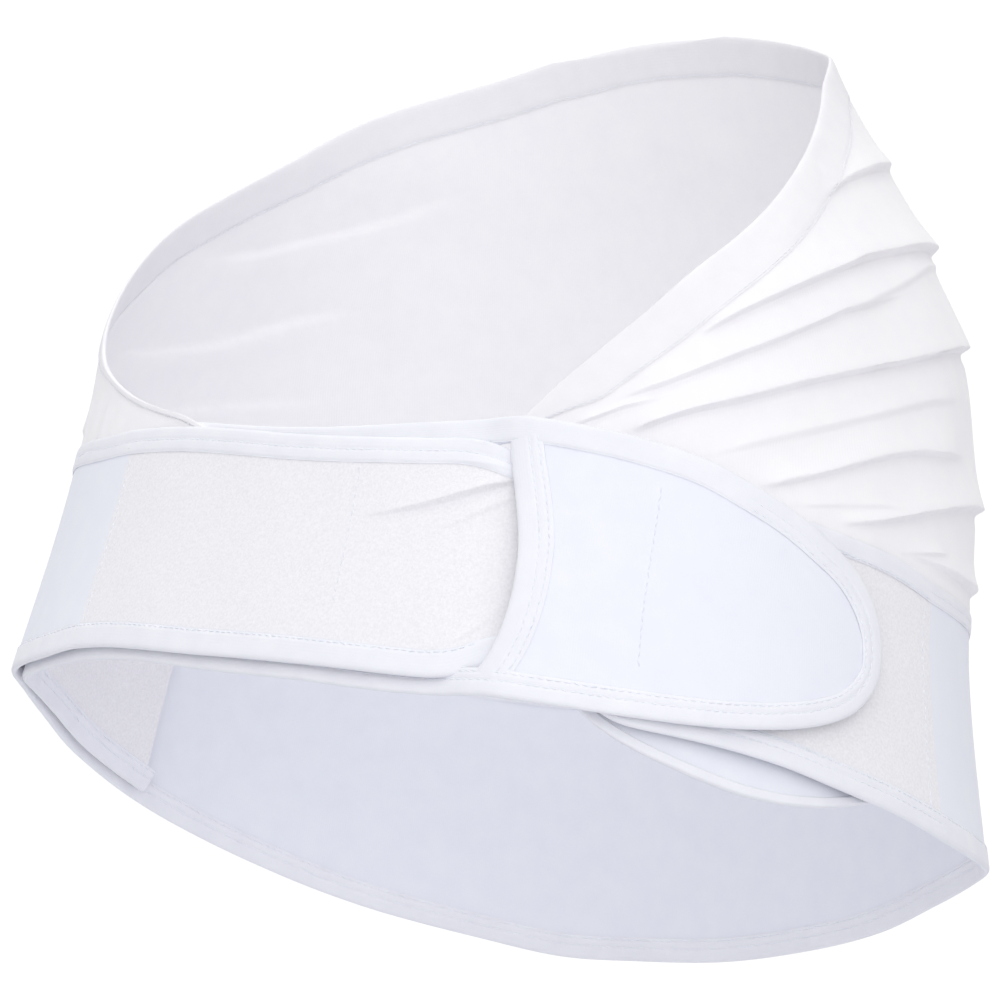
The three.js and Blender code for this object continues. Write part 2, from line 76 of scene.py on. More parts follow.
RIGHT_WING_ROWS = (  # angle, low share, top share, layer
    (-30, -0.171, 0.057, 1.00), (-22, -0.173, 0.054, 1.00), (-12, -0.180, 0.048, 1.00),
    (-2, -0.188, 0.039, 1.00), (8, -0.195, 0.030, 1.00), (20, -0.205, 0.021, 1.00),
    (31, -0.216, 0.015, 1.00), (37, -0.2215, 0.012, 1.00), (40, -0.2205, 0.007, 0.92),
    (42, -0.216, 0.002, 0.70), (44, -0.208, -0.004, 0.42), (46.5, -0.202, -0.010, 0.12),
    (50, -0.214, -0.018, 0.00),
    (55, -0.257, -0.032, 0.00), (59, -0.282, -0.044, 0.00), (66, -0.312, -0.066, 0.00),
    (72, -0.331, -0.090, 0.00), (78, -0.339, -0.114, 0.00), (84, -0.338, -0.140, 0.00),
    (90, -0.328, -0.168, 0.00), (94, -0.306, -0.199, 0.00), (95.5, -0.284, -0.226, 0.00),
)
LEFT_WING_ROWS = (  # angle, low share, top share
    (51.5, -0.190, -0.110), (52.5, -0.216, -0.080), (55, -0.246, -0.046), (58, -0.266, -0.031),
    (63, -0.277, -0.038), (68, -0.287, -0.048), (75, -0.304, -0.062), (82, -0.325, -0.077),
    (90, -0.346, -0.092), (98, -0.369, -0.113),
)
TAB_WING_ROWS = (  # angle, low share, top share, layer
    (-95, -0.288, -0.044, 0.00), (-84, -0.244, 0.002, 0.00), (-75, -0.207, 0.034, 0.00),
    (-66, -0.188, 0.052, 0.00), (-53, -0.183, 0.060, 0.00), (-40, -0.181, 0.063, 0.00),
    (-30, -0.179, 0.064, 0.00), (-18, -0.183, 0.061, 0.00), (-6, -0.194, 0.051, 0.00),
    (5, -0.204, 0.043, 0.00), (17, -0.214, 0.038, 0.00), (31, -0.229, 0.036, 0.00),
    (38, -0.235, 0.035, 0.10), (40, -0.237, 0.034, 0.50), (42, -0.240, 0.032, 1.15),
    (44.5, -0.243, 0.029, 1.65), (46.5, -0.247, 0.025, 1.90), (50, -0.252, 0.019, 2.00),
    (57, -0.262, 0.005, 2.00), (65, -0.272, -0.018, 2.00), (70, -0.275, -0.041, 2.00),
    (75, -0.274, -0.065, 2.00), (79, -0.269, -0.089, 2.00), (83, -0.257, -0.115, 2.00),
    (86, -0.235, -0.148, 2.00), (87.4, -0.213, -0.178, 2.00),
)
JERSEY_ROWS = (  # angle, top share, layer
    (42, 0.036, -0.90), (44, 0.052, -0.88), (47, 0.074, -0.76), (53, 0.110, -0.10),
    (58, 0.140, 0.45), (63, 0.172, 0.85), (70, 0.212, 1.00), (75, 0.243, 1.00),
    (81, 0.283, 1.00), (87, 0.323, 1.00), (93, 0.361, 1.00), (100, 0.404, 1.00),
    (110, 0.438, 1.00), (122, 0.461, 1.00), (138, 0.489, 1.00), (154, 0.509, 1.00),
    (170, 0.521, 1.00), (191, 0.525, 1.00), (209, 0.517, 1.00), (224, 0.500, 1.00),
    (242, 0.474, 1.00), (254, 0.444, 1.00), (265, 0.401, 1.00), (277, 0.353, 1.00),
    (288, 0.304, 1.00), (297, 0.248, 1.00), (304, 0.196, 1.00), (311, 0.150, 1.00),
    (318, 0.121, 0.90), (326, 0.096, 0.66), (335, 0.077, 0.52), (341, 0.066, 0.48),
    (348, 0.047, 0.46),
)
SLOT_EDGE_ROWS = (  # height in millimetres, angle of the slot's stitched edge
    (-75, 41.2), (-70, 43.0), (-66, 44.2), (-58, 45.4), (-48, 46.0), (-36, 45.9),
    (-28, 45.4), (-15, 44.1), (-4, 42.9), (4, 42.3), (12, 42.0),
)


class Table:
    """Rows of numbers read by their first column, with smooth or straight pieces between the rows."""

    def __init__(self, rows: Sequence[Sequence[float]]) -> None:
        """Keeps the rows as an array and works out the slope at each row.

        Args:
            rows: rows of numbers, rising by their first one.
        """
        self.rows = np.array(rows, float)
        self.keys = self.rows[:, 0]
        after = np.minimum(np.arange(len(self.keys)) + 1, len(self.keys) - 1)
        before = np.maximum(np.arange(len(self.keys)) - 1, 0)
        run = (self.keys[after] - self.keys[before])[:, None]
        self.slopes = (self.rows[after] - self.rows[before]) / run

    def cubic(self, column: int, key: Array | float) -> Array:
        """Value of a column by cubic pieces that share their slopes at the rows.

        Args:
            column: which column is read.
            key: values of the first column.

        Returns:
            The column's value at each key, level past both ends.
        """
        key = np.clip(np.asarray(key, float), self.keys[0], self.keys[-1])
        row = np.clip(np.searchsorted(self.keys, key, side="right") - 1, 0, len(self.keys) - 2)
        span = self.keys[row + 1] - self.keys[row]
        t = (key - self.keys[row]) / span
        low, high = self.rows[row, column], self.rows[row + 1, column]
        rise_low, rise_high = self.slopes[row, column] * span, self.slopes[row + 1, column] * span
        return (
            (2 * t**3 - 3 * t**2 + 1) * low + (t**3 - 2 * t**2 + t) * rise_low
            + (3 * t**2 - 2 * t**3) * high + (t**3 - t**2) * rise_high
        )

    def straight(self, column: int, key: Array | float, blur: float = 0.0) -> Array:
        """Value of a column by straight pieces, averaged over a reach of blur on both sides.

        Args:
            column: which column is read.
            key: values of the first column.
            blur: reach of the average, in the first column's unit.

        Returns:
            The column's value at each key.
        """
        key = np.asarray(key, float)
        shifts = np.linspace(-blur, blur, 7) if blur else [0.0]
        return np.mean([np.interp(key + s, self.keys, self.rows[:, column]) for s in shifts], axis=0)


def ease(low: float, high: float, value: Array | float) -> Array:
    """Rise from 0 to 1 between two values, level at both ends: 3t squared less 2t cubed."""
    t = np.clip((np.asarray(value, float) - low) / (high - low), 0, 1)
    return t * t * (3 - 2 * t)


@dataclass(frozen=True)
class BodyForm:
    """Smooth body form that the cloth is worn on: rounded ellipses stacked by height."""

    hip_half_width: float = 165.0
    depth_ratio: float = 0.753
    exponent: float = 2.25
    rows: Table = field(default_factory=lambda: Table(FORM_ROWS))

    def point(self, angle: Array, height: Array) -> Array:
        """Point where the ray at an angle meets the rounded ellipse of that height.

        The ellipse is where the side and depth shares, each raised to the exponent, add up to one.

        Args:
            angle: degrees round the body.
            height: millimetres.

        Returns:
            Points in millimetres.
        """
        share = height / BELT_HEIGHT
        half_width = self.hip_half_width * self.rows.cubic(1, share)
        half_depth = self.depth_ratio * half_width
        side, front = np.sin(np.radians(angle)), -np.cos(np.radians(angle))
        total = np.abs(side / half_width) ** self.exponent + np.abs(front / half_depth) ** self.exponent
        radius = total ** (-1 / self.exponent)
        back = self.hip_half_width * self.rows.cubic(2, share)
        return np.stack([radius * side, radius * front + back, height + 0 * angle], axis=-1)

    def directions(self, angle: Array, height: Array) -> tuple[Array, Array, Array]:
        """Millimetres per degree round, millimetres per millimetre up, and the outward direction.

        Args:
            angle: degrees round the body.
            height: millimetres.

        Returns:
            Both lengths and the outward unit vectors, by small differences of the form's points.
        """
        around = self.point(angle + 0.5, height) - self.point(angle - 0.5, height)
        upward = (self.point(angle, height + 1) - self.point(angle, height - 1)) / 2
        outward = np.cross(around, upward)
        outward /= np.linalg.norm(outward, axis=-1, keepdims=True)
        return np.linalg.norm(around, axis=-1), np.linalg.norm(upward, axis=-1), outward

    def placed(self, angle: Array, height: Array, offset: Array | float) -> Array:
        """Point held off the form along its outward direction.

        Args:
            angle: degrees round the body.
            height: millimetres.
            offset: distance outwards in millimetres.

        Returns:
            Points in millimetres.
        """
        angle, height = np.broadcast_arrays(np.asarray(angle, float), np.asarray(height, float))
        outward = self.directions(angle, height)[2]
        return self.point(angle, height) + outward * np.broadcast_to(offset, angle.shape)[..., None]


FORM = BodyForm()
BAND = Table(BAND_ROWS)
RIGHT_WING = Table(RIGHT_WING_ROWS)
LEFT_WING = Table(LEFT_WING_ROWS)
TAB_WING = Table(TAB_WING_ROWS)
JERSEY = Table(JERSEY_ROWS)
SLOT_EDGE = Table(SLOT_EDGE_ROWS)


def linear(hex_colour: str) -> tuple[float, float, float, float]:
    """Linear colour of an sRGB hex colour.

    Args:
        hex_colour: a hash sign and six digits.

    Returns:
        Red, green, blue and full cover.
    """
    shares = [int(hex_colour[k:k + 2], 16) / 255 for k in (1, 3, 5)]
    red, green, blue = (s / 12.92 if s <= 0.04045 else ((s + 0.055) / 1.055) ** 2.4 for s in shares)
    return red, green, blue, 1.0


def add_node(
    tree: bpy.types.NodeTree,
    kind: str,
    settings: dict[str, object] | None = None,
    values: dict[str | int, object] | None = None,
    links: dict[str | int, bpy.types.NodeSocket] | None = None,
) -> bpy.types.Node:
    """Adds one node.

    Args:
        tree: the node tree.
        kind: the node's type name.
        settings: the node's own properties.
        values: what its input sockets are set to.
        links: which output sockets feed its inputs.

    Returns:
        The new node.
    """
    node = tree.nodes.new(kind)
    for name, value in (settings or {}).items():
        setattr(node, name, value)
    for name, value in (values or {}).items():
        node.inputs[name].default_value = value
    for name, socket in (links or {}).items():
        tree.links.new(socket, node.inputs[name])
    return node


@dataclass(frozen=True)
class ClothFinish:
    """Finish of one cloth, with real sizes in millimetres.

    The face is a knit of even ribs broken by a fine grain; its shade wanders a little between two
    colours. A share of the light enters the cloth, and in thin cloth much of that comes out on the other
    side.
    """

    name: str
    colour: str
    shade: str
    roughness: float
    sheen: float
    rib_mm: float
    rib_depth_mm: float
    grain_mm: float
    grain_depth_mm: float
    patch_mm: float = 9.0
    light_share: float = 0.0
    light_reach_mm: float = 3.0
    grain_in_shade: float = 0.35
    shade_stops: tuple[float, float] = (0.45, 0.85)

    def build(self) -> bpy.types.Material:
        """Builds the node material on the piece's own UV map, which is in millimetres.

        Returns:
            The material.
        """
        material = bpy.data.materials.new(self.name)
        material.use_nodes = True
        tree = material.node_tree
        tree.nodes.clear()
        uv = add_node(tree, "ShaderNodeUVMap", {"uv_map": "cloth_mm"}).outputs[0]
        place = add_node(tree, "ShaderNodeTexCoord").outputs["Object"]
        solid = add_node(
            tree, "ShaderNodeMapping", values={"Scale": (1000.0,) * 3}, links={"Vector": place}
        ).outputs[0]
        grain = add_node(
            tree, "ShaderNodeTexNoise", values={"Scale": 1 / self.grain_mm, "Detail": 2.0, "Roughness": 0.6},
            links={"Vector": solid},
        ).outputs["Fac"]
        # The wave pattern repeats every tenth of pi of its scaled coordinate.
        ribs = add_node(
            tree, "ShaderNodeTexWave", {"bands_direction": "X"},
            {"Scale": math.pi / 10 / self.rib_mm, "Distortion": 0.6, "Detail": 1.0, "Detail Scale": 1.5},
            {"Vector": uv},
        ).outputs["Fac"]
        # Slow patches mottle the tone; at a fine patch size, as on the loop cloth, the flecks are painted
        # glints.
        patch = add_node(
            tree, "ShaderNodeTexNoise", values={"Scale": 1 / self.patch_mm, "Detail": 3.0},
            links={"Vector": solid},
        ).outputs["Fac"]
        mixed = add_node(
            tree, "ShaderNodeMath", {"operation": "MULTIPLY_ADD", "use_clamp": True},
            {1: self.grain_in_shade}, {0: grain, 2: patch},
        ).outputs[0]
        ramp = add_node(tree, "ShaderNodeValToRGB", links={"Fac": mixed})
        colours = (self.shade, self.colour)
        for stop, position, colour in zip(ramp.color_ramp.elements, self.shade_stops, colours):
            stop.position = position
            stop.color = linear(colour)
        rib_bump = add_node(
            tree, "ShaderNodeBump", values={"Strength": 1.0, "Distance": self.rib_depth_mm * MM},
            links={"Height": ribs},
        ).outputs[0]
        bump = add_node(
            tree, "ShaderNodeBump", values={"Strength": 1.0, "Distance": self.grain_depth_mm * MM},
            links={"Height": grain, "Normal": rib_bump},
        ).outputs[0]
        shader = add_node(
            tree, "ShaderNodeBsdfPrincipled",
            values={
                "Roughness": self.roughness, "IOR": 1.5, "Specular IOR Level": 0.35,
                "Sheen Weight": self.sheen, "Sheen Roughness": 0.5,
                "Subsurface Weight": self.light_share, "Subsurface Radius": (1.0, 1.0, 1.0),
                "Subsurface Scale": self.light_reach_mm * MM,
            },
            links={"Base Color": ramp.outputs[0], "Normal": bump},
        )
        add_node(tree, "ShaderNodeOutputMaterial", links={"Surface": shader.outputs[0]})
        return material


# The ribs and loops of these cloths are really 0.4 to 0.6 mm apart. They are drawn at 0.6 to 1.1 mm, because
# finer ones do not show in the render.

# Polyester jersey: weft knit with fine upright ribs, soft and matt, thin enough to glow against the light.
JERSEY_KNIT = ClothFinish(
    "polyester_jersey_knit", "#FAF9FC", "#F7F5FA", roughness=0.85, sheen=0.05,
    rib_mm=0.9, rib_depth_mm=0.015, grain_mm=0.6, grain_depth_mm=0.015, light_share=0.35,
)
# The jersey folded double at its hem, too thick to glow.
JERSEY_HEM = replace(
    JERSEY_KNIT, name="folded_jersey_hem", colour="#F5F4F7", shade="#F2F1F5", light_share=0.0
)
# Tricot bonded to thin foam: a very smooth matt face, a little cooler in colour.
LAMINATE_TRICOT = ClothFinish(
    "foam_laminated_tricot", "#F0F2FA", "#EDEFF9", roughness=0.8, sheen=0.04,
    rib_mm=0.7, rib_depth_mm=0.01, grain_mm=0.8, grain_depth_mm=0.015,
)
# Brushed tricot that hook tape holds to: raised loops with a fine bump, and painted glints: small light and
# dark flecks in its colour stand in for the loops' sparkle.
LOOP_TRICOT = ClothFinish(
    "brushed_loop_tricot", "#F6F5F9", "#EDECF0", roughness=0.9, sheen=0.1,
    rib_mm=1.1, rib_depth_mm=0.02, grain_mm=0.6, grain_depth_mm=0.12, patch_mm=0.9,
)
# Tricot strip folded round the edges: ribs run across the strip.
BINDING_TRICOT = ClothFinish(
    "folded_tricot_binding", "#F2F3F9", "#EEEFF6", roughness=0.75, sheen=0.05,
    rib_mm=0.8, rib_depth_mm=0.015, grain_mm=0.7, grain_depth_mm=0.02,
)
# Moulded nylon hook tape: rows of stiff hooks.
HOOK_TAPE = ClothFinish(
    "nylon_hook_tape", "#EEF0F6", "#E2E4EC", roughness=0.6, sheen=0.0,
    rib_mm=1.5, rib_depth_mm=0.3, grain_mm=0.8, grain_depth_mm=0.2, patch_mm=2.0,
)
# Spun polyester thread: two twisted plies.
THREAD = ClothFinish(
    "spun_polyester_thread", "#F6F8FF", "#F0F3FC", roughness=0.6, sheen=0.1,
    rib_mm=0.35, rib_depth_mm=0.03, grain_mm=0.3, grain_depth_mm=0.02, patch_mm=3.0,
)


class Finishes:
    """Builds each finish once and gives it to the pieces that share it."""

    def __init__(self) -> None:
        """Starts with nothing built."""
        self.built: dict[str, bpy.types.Material] = {}

    def get(self, finish: ClothFinish) -> bpy.types.Material:
        """The material of a finish, built at the first call.

        Args:
            finish: which finish.

        Returns:
            Its material.
        """
        if finish.name not in self.built:
            self.built[finish.name] = finish.build()
        return self.built[finish.name]


FINISHES = Finishes()


def make_object(
    name: str,
    points: Array,
    faces: Array,
    uv: Array,
    finish: ClothFinish,
    sharp_degrees: float = 50.0,
) -> bpy.types.Object:
    """Mesh object from arrays, at the origin.

    Args:
        name: the piece's name.
        points: corners in millimetres.
        faces: four corner numbers a row; a triangle repeats its last.
        uv: millimetres along and across the cloth, a row for each corner point.
        finish: what it is made of.
        sharp_degrees: edges that turn more than this stay crisp.

    Returns:
        The linked object.
    """
    mesh = bpy.data.meshes.new(name)
    corners = [row[:3] if row[2] == row[3] else row for row in faces.tolist()]
    mesh.from_pydata((points * MM).tolist(), [], corners)
    layer = mesh.uv_layers.new(name="cloth_mm")
    loops = np.empty(len(mesh.loops), np.int32)
    mesh.loops.foreach_get("vertex_index", loops)
    layer.data.foreach_set("uv", uv[loops].astype(np.float32).ravel())
    mesh.shade_smooth()
    mesh.set_sharp_from_angle(angle=math.radians(sharp_degrees))
    mesh.materials.append(FINISHES.get(finish))
    mesh.update()
    made = bpy.data.objects.new(name, mesh)
    bpy.context.scene.collection.objects.link(made)
    return made


def quads(a: Array, b: Array, c: Array, d: Array) -> Array:
    """Four arrays of corner numbers as rows of faces."""
    return np.stack([a.ravel(), b.ravel(), c.ravel(), d.ravel()], axis=-1)


def walled_grid(outer: Array, inner: Array, present: Array | None = None) -> tuple[Array, Array, Array]:
    """Closed sheet between two grids of the same shape.

    Outer cells face out, inner cells face in, and a wall closes every edge of a present cell that has no
    present neighbour, so cells left out make real holes.

    Args:
        outer: grid of points, columns by rows by 3.
        inner: the same grid on the inner face.
        present: which cells are there, one fewer each way.

    Returns:
        Points, four-cornered faces, and the number that each point has among both grids' points.
    """
    columns, rows = outer.shape[:2]
    if present is None:
        present = np.ones((columns - 1, rows - 1), bool)
    number = np.arange(columns * rows).reshape(columns, rows)
    far = number + columns * rows
    padded = np.pad(present, 1)
    a, b, c, d = number[:-1, :-1], number[1:, :-1], number[1:, 1:], number[:-1, 1:]
    fa, fb, fc, fd = far[:-1, :-1], far[1:, :-1], far[1:, 1:], far[:-1, 1:]
    below = present & ~padded[1:-1, :-2]
    above = present & ~padded[1:-1, 2:]
    before = present & ~padded[:-2, 1:-1]
    after = present & ~padded[2:, 1:-1]
    faces = np.concatenate([
        quads(a[present], b[present], c[present], d[present]),
        quads(fa[present], fd[present], fc[present], fb[present]),
        quads(fa[below], fb[below], b[below], a[below]),
        quads(fd[above], d[above], c[above], fc[above]),
        quads(fa[before], a[before], d[before], fd[before]),
        quads(fb[after], fc[after], c[after], b[after]),
    ])
    points = np.concatenate([outer.reshape(-1, 3), inner.reshape(-1, 3)])
    used, fresh = np.unique(faces, return_inverse=True)
    return points[used], fresh.reshape(faces.shape), used


def undulation(angle: Array, height: Array, seed: int, size: float) -> Array:
    """Slow unevenness of worn cloth: the average of a few sine waves with seeded headings and lengths.

    Args:
        angle: degrees round the body.
        height: millimetres.
        seed: start of the random draws.
        size: about how long the waves are, in millimetres.

    Returns:
        Values between -1 and 1.
    """
    waves = 6
    rng = np.random.default_rng(seed)
    total = np.zeros(np.broadcast_shapes(angle.shape, height.shape))
    for _ in range(waves):
        heading = rng.uniform(0, math.tau)
        phase = rng.uniform(0, math.tau)
        length = rng.uniform(0.6, 1.5) * size
        run = math.cos(heading) * angle * DEGREE_MM + math.sin(heading) * height
        total = total + np.sin(math.tau * run / length + phase)
    return total / waves


@dataclass(frozen=True)
class Crease:
    """One gathered fold of cloth: a crease line of angles and heights with a ridge above it.

    The cloth climbs steeply from the crease over the step width and falls away above it over the slope.
    The fades are degrees over which the fold starts and ends; the other sizes are millimetres.
    """

    line: tuple[tuple[float, float], ...]
    rise: float
    step: float = 1.3
    slope: float = 11.0
    start_fade: float = 3.0
    end_fade: float = 12.0

    def track(self, angle: Array) -> Array:
        """Height of the crease line, led on past its last point.

        Args:
            angle: degrees round the body.

        Returns:
            Millimetres.
        """
        last, before = self.line[-1], self.line[-2]
        lead = (last[1] - before[1]) / (last[0] - before[0])
        return Table(self.line).cubic(1, angle) + np.clip(angle - last[0], 0, None) * lead * 0.6

    def presence(self, angle: Array) -> Array:
        """How much of the crease there is: one along it, fading to zero past both ends.

        Args:
            angle: degrees round the body.

        Returns:
            Values between 0 and 1.
        """
        first, last = self.line[0][0], self.line[-1][0]
        return ease(first - self.start_fade * 0.3, first + self.start_fade, angle) * (
            1 - ease(last, last + self.end_fade, angle)
        )

    def lift(self, angle: Array, height: Array) -> Array:
        """How far the fold stands out: its rise times its presence times the one-sided ridge profile.

        The profile climbs over the step, falls away like a stretched bell over the slope, and has a faint
        hollow just below the line.

        Args:
            angle: degrees round the body.
            height: millimetres.

        Returns:
            Millimetres.
        """
        above = height - self.track(angle)
        ends = self.presence(angle)
        narrow = 0.35 + 0.65 * ease(self.line[0][0], self.line[0][0] + 16, angle)
        climb = ease(-0.75 * self.step, 0.45 * self.step, above)
        fall = np.exp(-np.clip(above, 0, None) ** 1.25 / (self.slope * narrow) ** 1.25)
        hollow = -0.18 * np.exp(-(((above + self.step * 2.2) / (self.step * 1.8)) ** 2))
        return self.rise * ends * (climb * fall + hollow) * (0.45 + 0.55 * narrow)


def total_lift(creases: Sequence[Crease], angle: Array, height: Array) -> Array:
    """Sum of the folds' lifts."""
    return sum((c.lift(angle, height) for c in creases), np.zeros(angle.shape))


LEFT_GATHERS = (  # line, rise, step, slope, start fade, end fade
    Crease(((86, 85), (92, 92), (100, 98), (106, 101)), 3.2, 1.6, 8.0, 4.0, 9.0),
    Crease(((64, 37), (69, 44), (76, 52), (82, 58), (90, 65), (103, 72), (110, 74)), 3.9, 1.2, 13.0),
    Crease(((55, 17), (61, 22), (70, 32), (75, 38), (82, 46)), 2.8, 1.2, 9.0, 3.0, 14.0),
    Crease(((84, 48), (92, 55), (104, 66), (110, 69)), 1.5, 2.2, 8.0, 6.0),
    Crease(((56, 5.6), (62, 11), (69, 16), (76, 22), (86, 29), (104, 40), (112, 43)), 3.6, 1.0, 15.0),
    Crease(((49, 9.5), (52, 11.5), (55, 14)), 1.5, 1.0, 4.0, 2.0, 6.0),
    Crease(((65, -2), (76, 6.5), (86, 14), (96, 21)), 1.5, 2.4, 9.0, 6.0),
    Crease(((71, -12), (79, -6), (86, 0), (92, 3.4), (97, 4.6)), 2.8, 1.2, 10.0, 3.0, 11.0),
    Crease(((81, -22), (89, -18.7), (97, -14), (107, -9.5), (112, -9)), 3.4, 1.0, 9.0, 3.0, 8.0),
    Crease(((74, -17.5), (80, -16), (86, -15)), 1.0, 1.4, 5.0, 3.0, 6.0),
    Crease(((86, -31), (91, -29), (97, -27.5)), 1.8, 1.0, 4.0, 2.0, 5.0),
    Crease(((93, -29), (99, -31), (106, -33.5), (112, -35)), 3.0, 1.0, 6.0, 3.0, 8.0),
)
RIGHT_GATHERS = (
    Crease(((232, 122), (244, 112), (256, 104), (266, 97)), 1.6, 2.5, 10.0, 8.0),
    Crease(((246, 82), (256, 76), (268, 66), (280, 60)), 2.2, 2.2, 11.0, 10.0),
    Crease(((252, 50), (264, 46), (276, 41), (290, 36)), 2.0, 2.4, 11.0, 10.0),
    Crease(((262, 26), (272, 24), (284, 23), (296, 25)), 1.7, 2.4, 9.0, 10.0),
)


def crowded_rows(low: Array, top: Array, angle: Array, creases: Sequence[Crease], rows: int) -> Array:
    """Heights of a grid's rows, which crowd together along the crease lines.

    Each column is weighted by one plus a bell for each crease, and the rows share the summed weight evenly.

    Args:
        low: lower edge of each column.
        top: upper edge of each column.
        angle: angle of each column.
        creases: lines that draw the rows together.
        rows: number of rows.

    Returns:
        Heights, columns by rows.
    """
    fine = low[:, None] + (top - low)[:, None] * np.linspace(0, 1, 500)[None]
    weight = np.ones_like(fine)
    for crease in creases:
        bell = np.exp(-(((fine - crease.track(angle)[:, None]) / (1.1 + crease.step)) ** 2))
        weight += 3.5 * crease.presence(angle)[:, None] * bell
    steps = (weight[:, 1:] + weight[:, :-1]) / 2
    total = np.concatenate([np.zeros((len(low), 1)), np.cumsum(steps, axis=1)], axis=1)
    total /= total[:, -1:]
    shift = 2.0 * np.arange(len(low))[:, None]
    wanted = np.linspace(0, 1, rows)[None] + shift
    return np.interp(wanted.ravel(), (total + shift).ravel(), fine.ravel()).reshape(len(low), rows)


def band_top(angle: Array) -> Array:
    """Upper edge of the band."""
    return BELT_HEIGHT * BAND.cubic(2, angle)


def jersey_top(angle: Array) -> Array:
    """Upper edge of the jersey."""
    return BELT_HEIGHT * JERSEY.cubic(1, angle)


def jersey_low(angle: Array) -> Array:
    """Lower edge of the jersey, just above the bound edge that it is sewn to.

    Behind the tab it starts level; from there it eases to the seam, which steps a little at both wings.

    Args:
        angle: degrees round the body.

    Returns:
        Millimetres.
    """
    behind = 0.009 * BELT_HEIGHT
    seam = band_top(angle) - 0.4 + 0.4 * ease(96, 104, angle) - 1.5 * ease(316, 328, angle)
    return behind + (seam - behind) * ease(52, 60, angle)


def jersey_seat(angle: Array, height: Array) -> Array:
    """Offset of the jersey's middle: its layer, its gathers, its slow unevenness and a fine pucker.

    Args:
        angle: degrees round the body.
        height: millimetres.

    Returns:
        Millimetres off the form.
    """
    above = height - jersey_low(angle)
    below = jersey_top(angle) - height
    hem_fade = ease(4, 22, below)
    seam_fade = ease(0, 9, above)
    left = total_lift(LEFT_GATHERS, angle, height) * ease(-1, 10, below)
    right = total_lift(RIGHT_GATHERS, angle, height) * hem_fade
    slow = 0.45 * undulation(angle, height, 5, 42.0) * hem_fade
    gathered = ease(311, 316, angle) * (1 - ease(320, 324, angle)) * (1 - ease(6, 20, above))
    pucker = 0.5 * np.sin(math.tau * (angle + 0.05 * height) / 1.9) * gathered
    return LAYER_PITCH * JERSEY.straight(2, angle, 1.5) + (left + right + slow) * seam_fade + pucker


def band_seat(angle: Array, height: Array) -> Array:
    """Offset of the band's middle, even at its two seams."""
    away = ease(98, 108, angle) * (1 - ease(320, 330, angle))
    return LAYER_PITCH + 0.25 * undulation(angle, height, 3, 60.0) * away


SLOT_PINCH = (
    Crease(((24, -19.5), (29, -18.5), (33, -17), (38, -14), (43, -10.5)), 2.2, 1.1, 7.0, 9.0, 5.0),
    Crease(((33, -27), (38, -22), (43, -16)), 0.8, 2.2, 6.0, 6.0, 5.0),
    Crease(((34, 4.5), (38, 2.6), (43, -1.5)), 0.75, 0.8, 2.2, 4.0, 3.0),
    Crease(((36, 1.4), (40, -0.8), (44, -4.2)), 0.75, 0.8, 2.0, 4.0, 3.0),
    Crease(((35, -3.4), (39, -4.8), (44, -7.4)), 0.65, 0.8, 2.4, 4.0, 3.0),
    Crease(((36, -66), (40, -60), (44, -52)), 0.6, 2.5, 5.0, 4.0, 5.0),
)


def right_seat(angle: Array, height: Array) -> Array:
    """Offset of the right wing's middle, with the folds that the slot pinches into it.

    Args:
        angle: degrees round the body.
        height: millimetres.

    Returns:
        Millimetres off the form.
    """
    layer = RIGHT_WING.straight(3, angle, 1.6)
    outside = ease(0.1, 0.9, layer)
    pinch = total_lift(SLOT_PINCH, angle, height) * outside
    slow = 0.22 * undulation(angle, height, 11, 38.0) * outside * ease(-30, -20, angle)
    return LAYER_PITCH * layer + pinch + slow


def tab_seat(angle: Array, height: Array) -> Array:
    """Offset of the tab wing's middle."""
    layer = TAB_WING.straight(3, angle, 1.6)
    return LAYER_PITCH * layer + 0.2 * undulation(angle, height, 17, 50.0) * ease(1.0, 2.0, layer)


def left_seat(angle: Array, height: Array) -> Array:
    """Offset of the left wing's middle."""
    return LAYER_PITCH + 0.15 * undulation(angle, height, 23, 45.0) * (1 - ease(90, 98, angle))


def run_along(points: Array) -> Array:
    """Distance run at each point of a line: the summed lengths of the steps before it."""
    return np.concatenate([[0], np.cumsum(np.linalg.norm(np.diff(points, axis=0), axis=1))])


def smoothed(path: Array, spread: float, spacing: float) -> Array:
    """Path of angles and heights, rounded by a bell-shaped average along its length and respaced evenly.

    Args:
        path: rows of angle and height.
        spread: width of the average in millimetres.
        spacing: distance between the new points in millimetres.

    Returns:
        The new path, which keeps both ends.
    """
    scale = np.array([DEGREE_MM, 1.0])
    step = 0.5
    run = run_along(path * scale)
    fine = np.linspace(0, run[-1], int(run[-1] / step) + 2)
    dense = np.stack([np.interp(fine, run, path[:, k]) for k in (0, 1)], axis=-1)
    if spread:
        reach = int(spread * 3 / step)
        weights = np.exp(-0.5 * (np.arange(-reach, reach + 1) * step / spread) ** 2)
        weights /= weights.sum()
        head = 2 * dense[0] - dense[reach:0:-1]
        tail = 2 * dense[-1] - dense[-2:-reach - 2:-1]
        extended = np.concatenate([head, dense, tail])
        dense = np.stack([np.convolve(extended[:, k], weights, "valid") for k in (0, 1)], axis=-1)
    run = run_along(dense * scale)
    even = np.linspace(0, run[-1], max(int(run[-1] / spacing), 2) + 1)
    return np.stack([np.interp(even, run, dense[:, k]) for k in (0, 1)], axis=-1)


class Face(Enum):
    """Which face of a cloth a row of stitches lies on."""

    OUTER = 1.0
    INNER = -1.0


@dataclass(frozen=True)
class SeamRow:
    """One row of stitches along a strip, at a share of its width from the rim, on a part of its path."""

    share: float
    first: float = 0.0
    last: float = 1.0
    faces: tuple[Face, ...] = (Face.OUTER, Face.INNER)

    def along(self, count: int) -> Array:
        """One where the row runs and zero elsewhere, at each of the path's stations."""
        part = np.linspace(0, 1, count)
        return ((part >= self.first) & (part <= self.last)).astype(float)


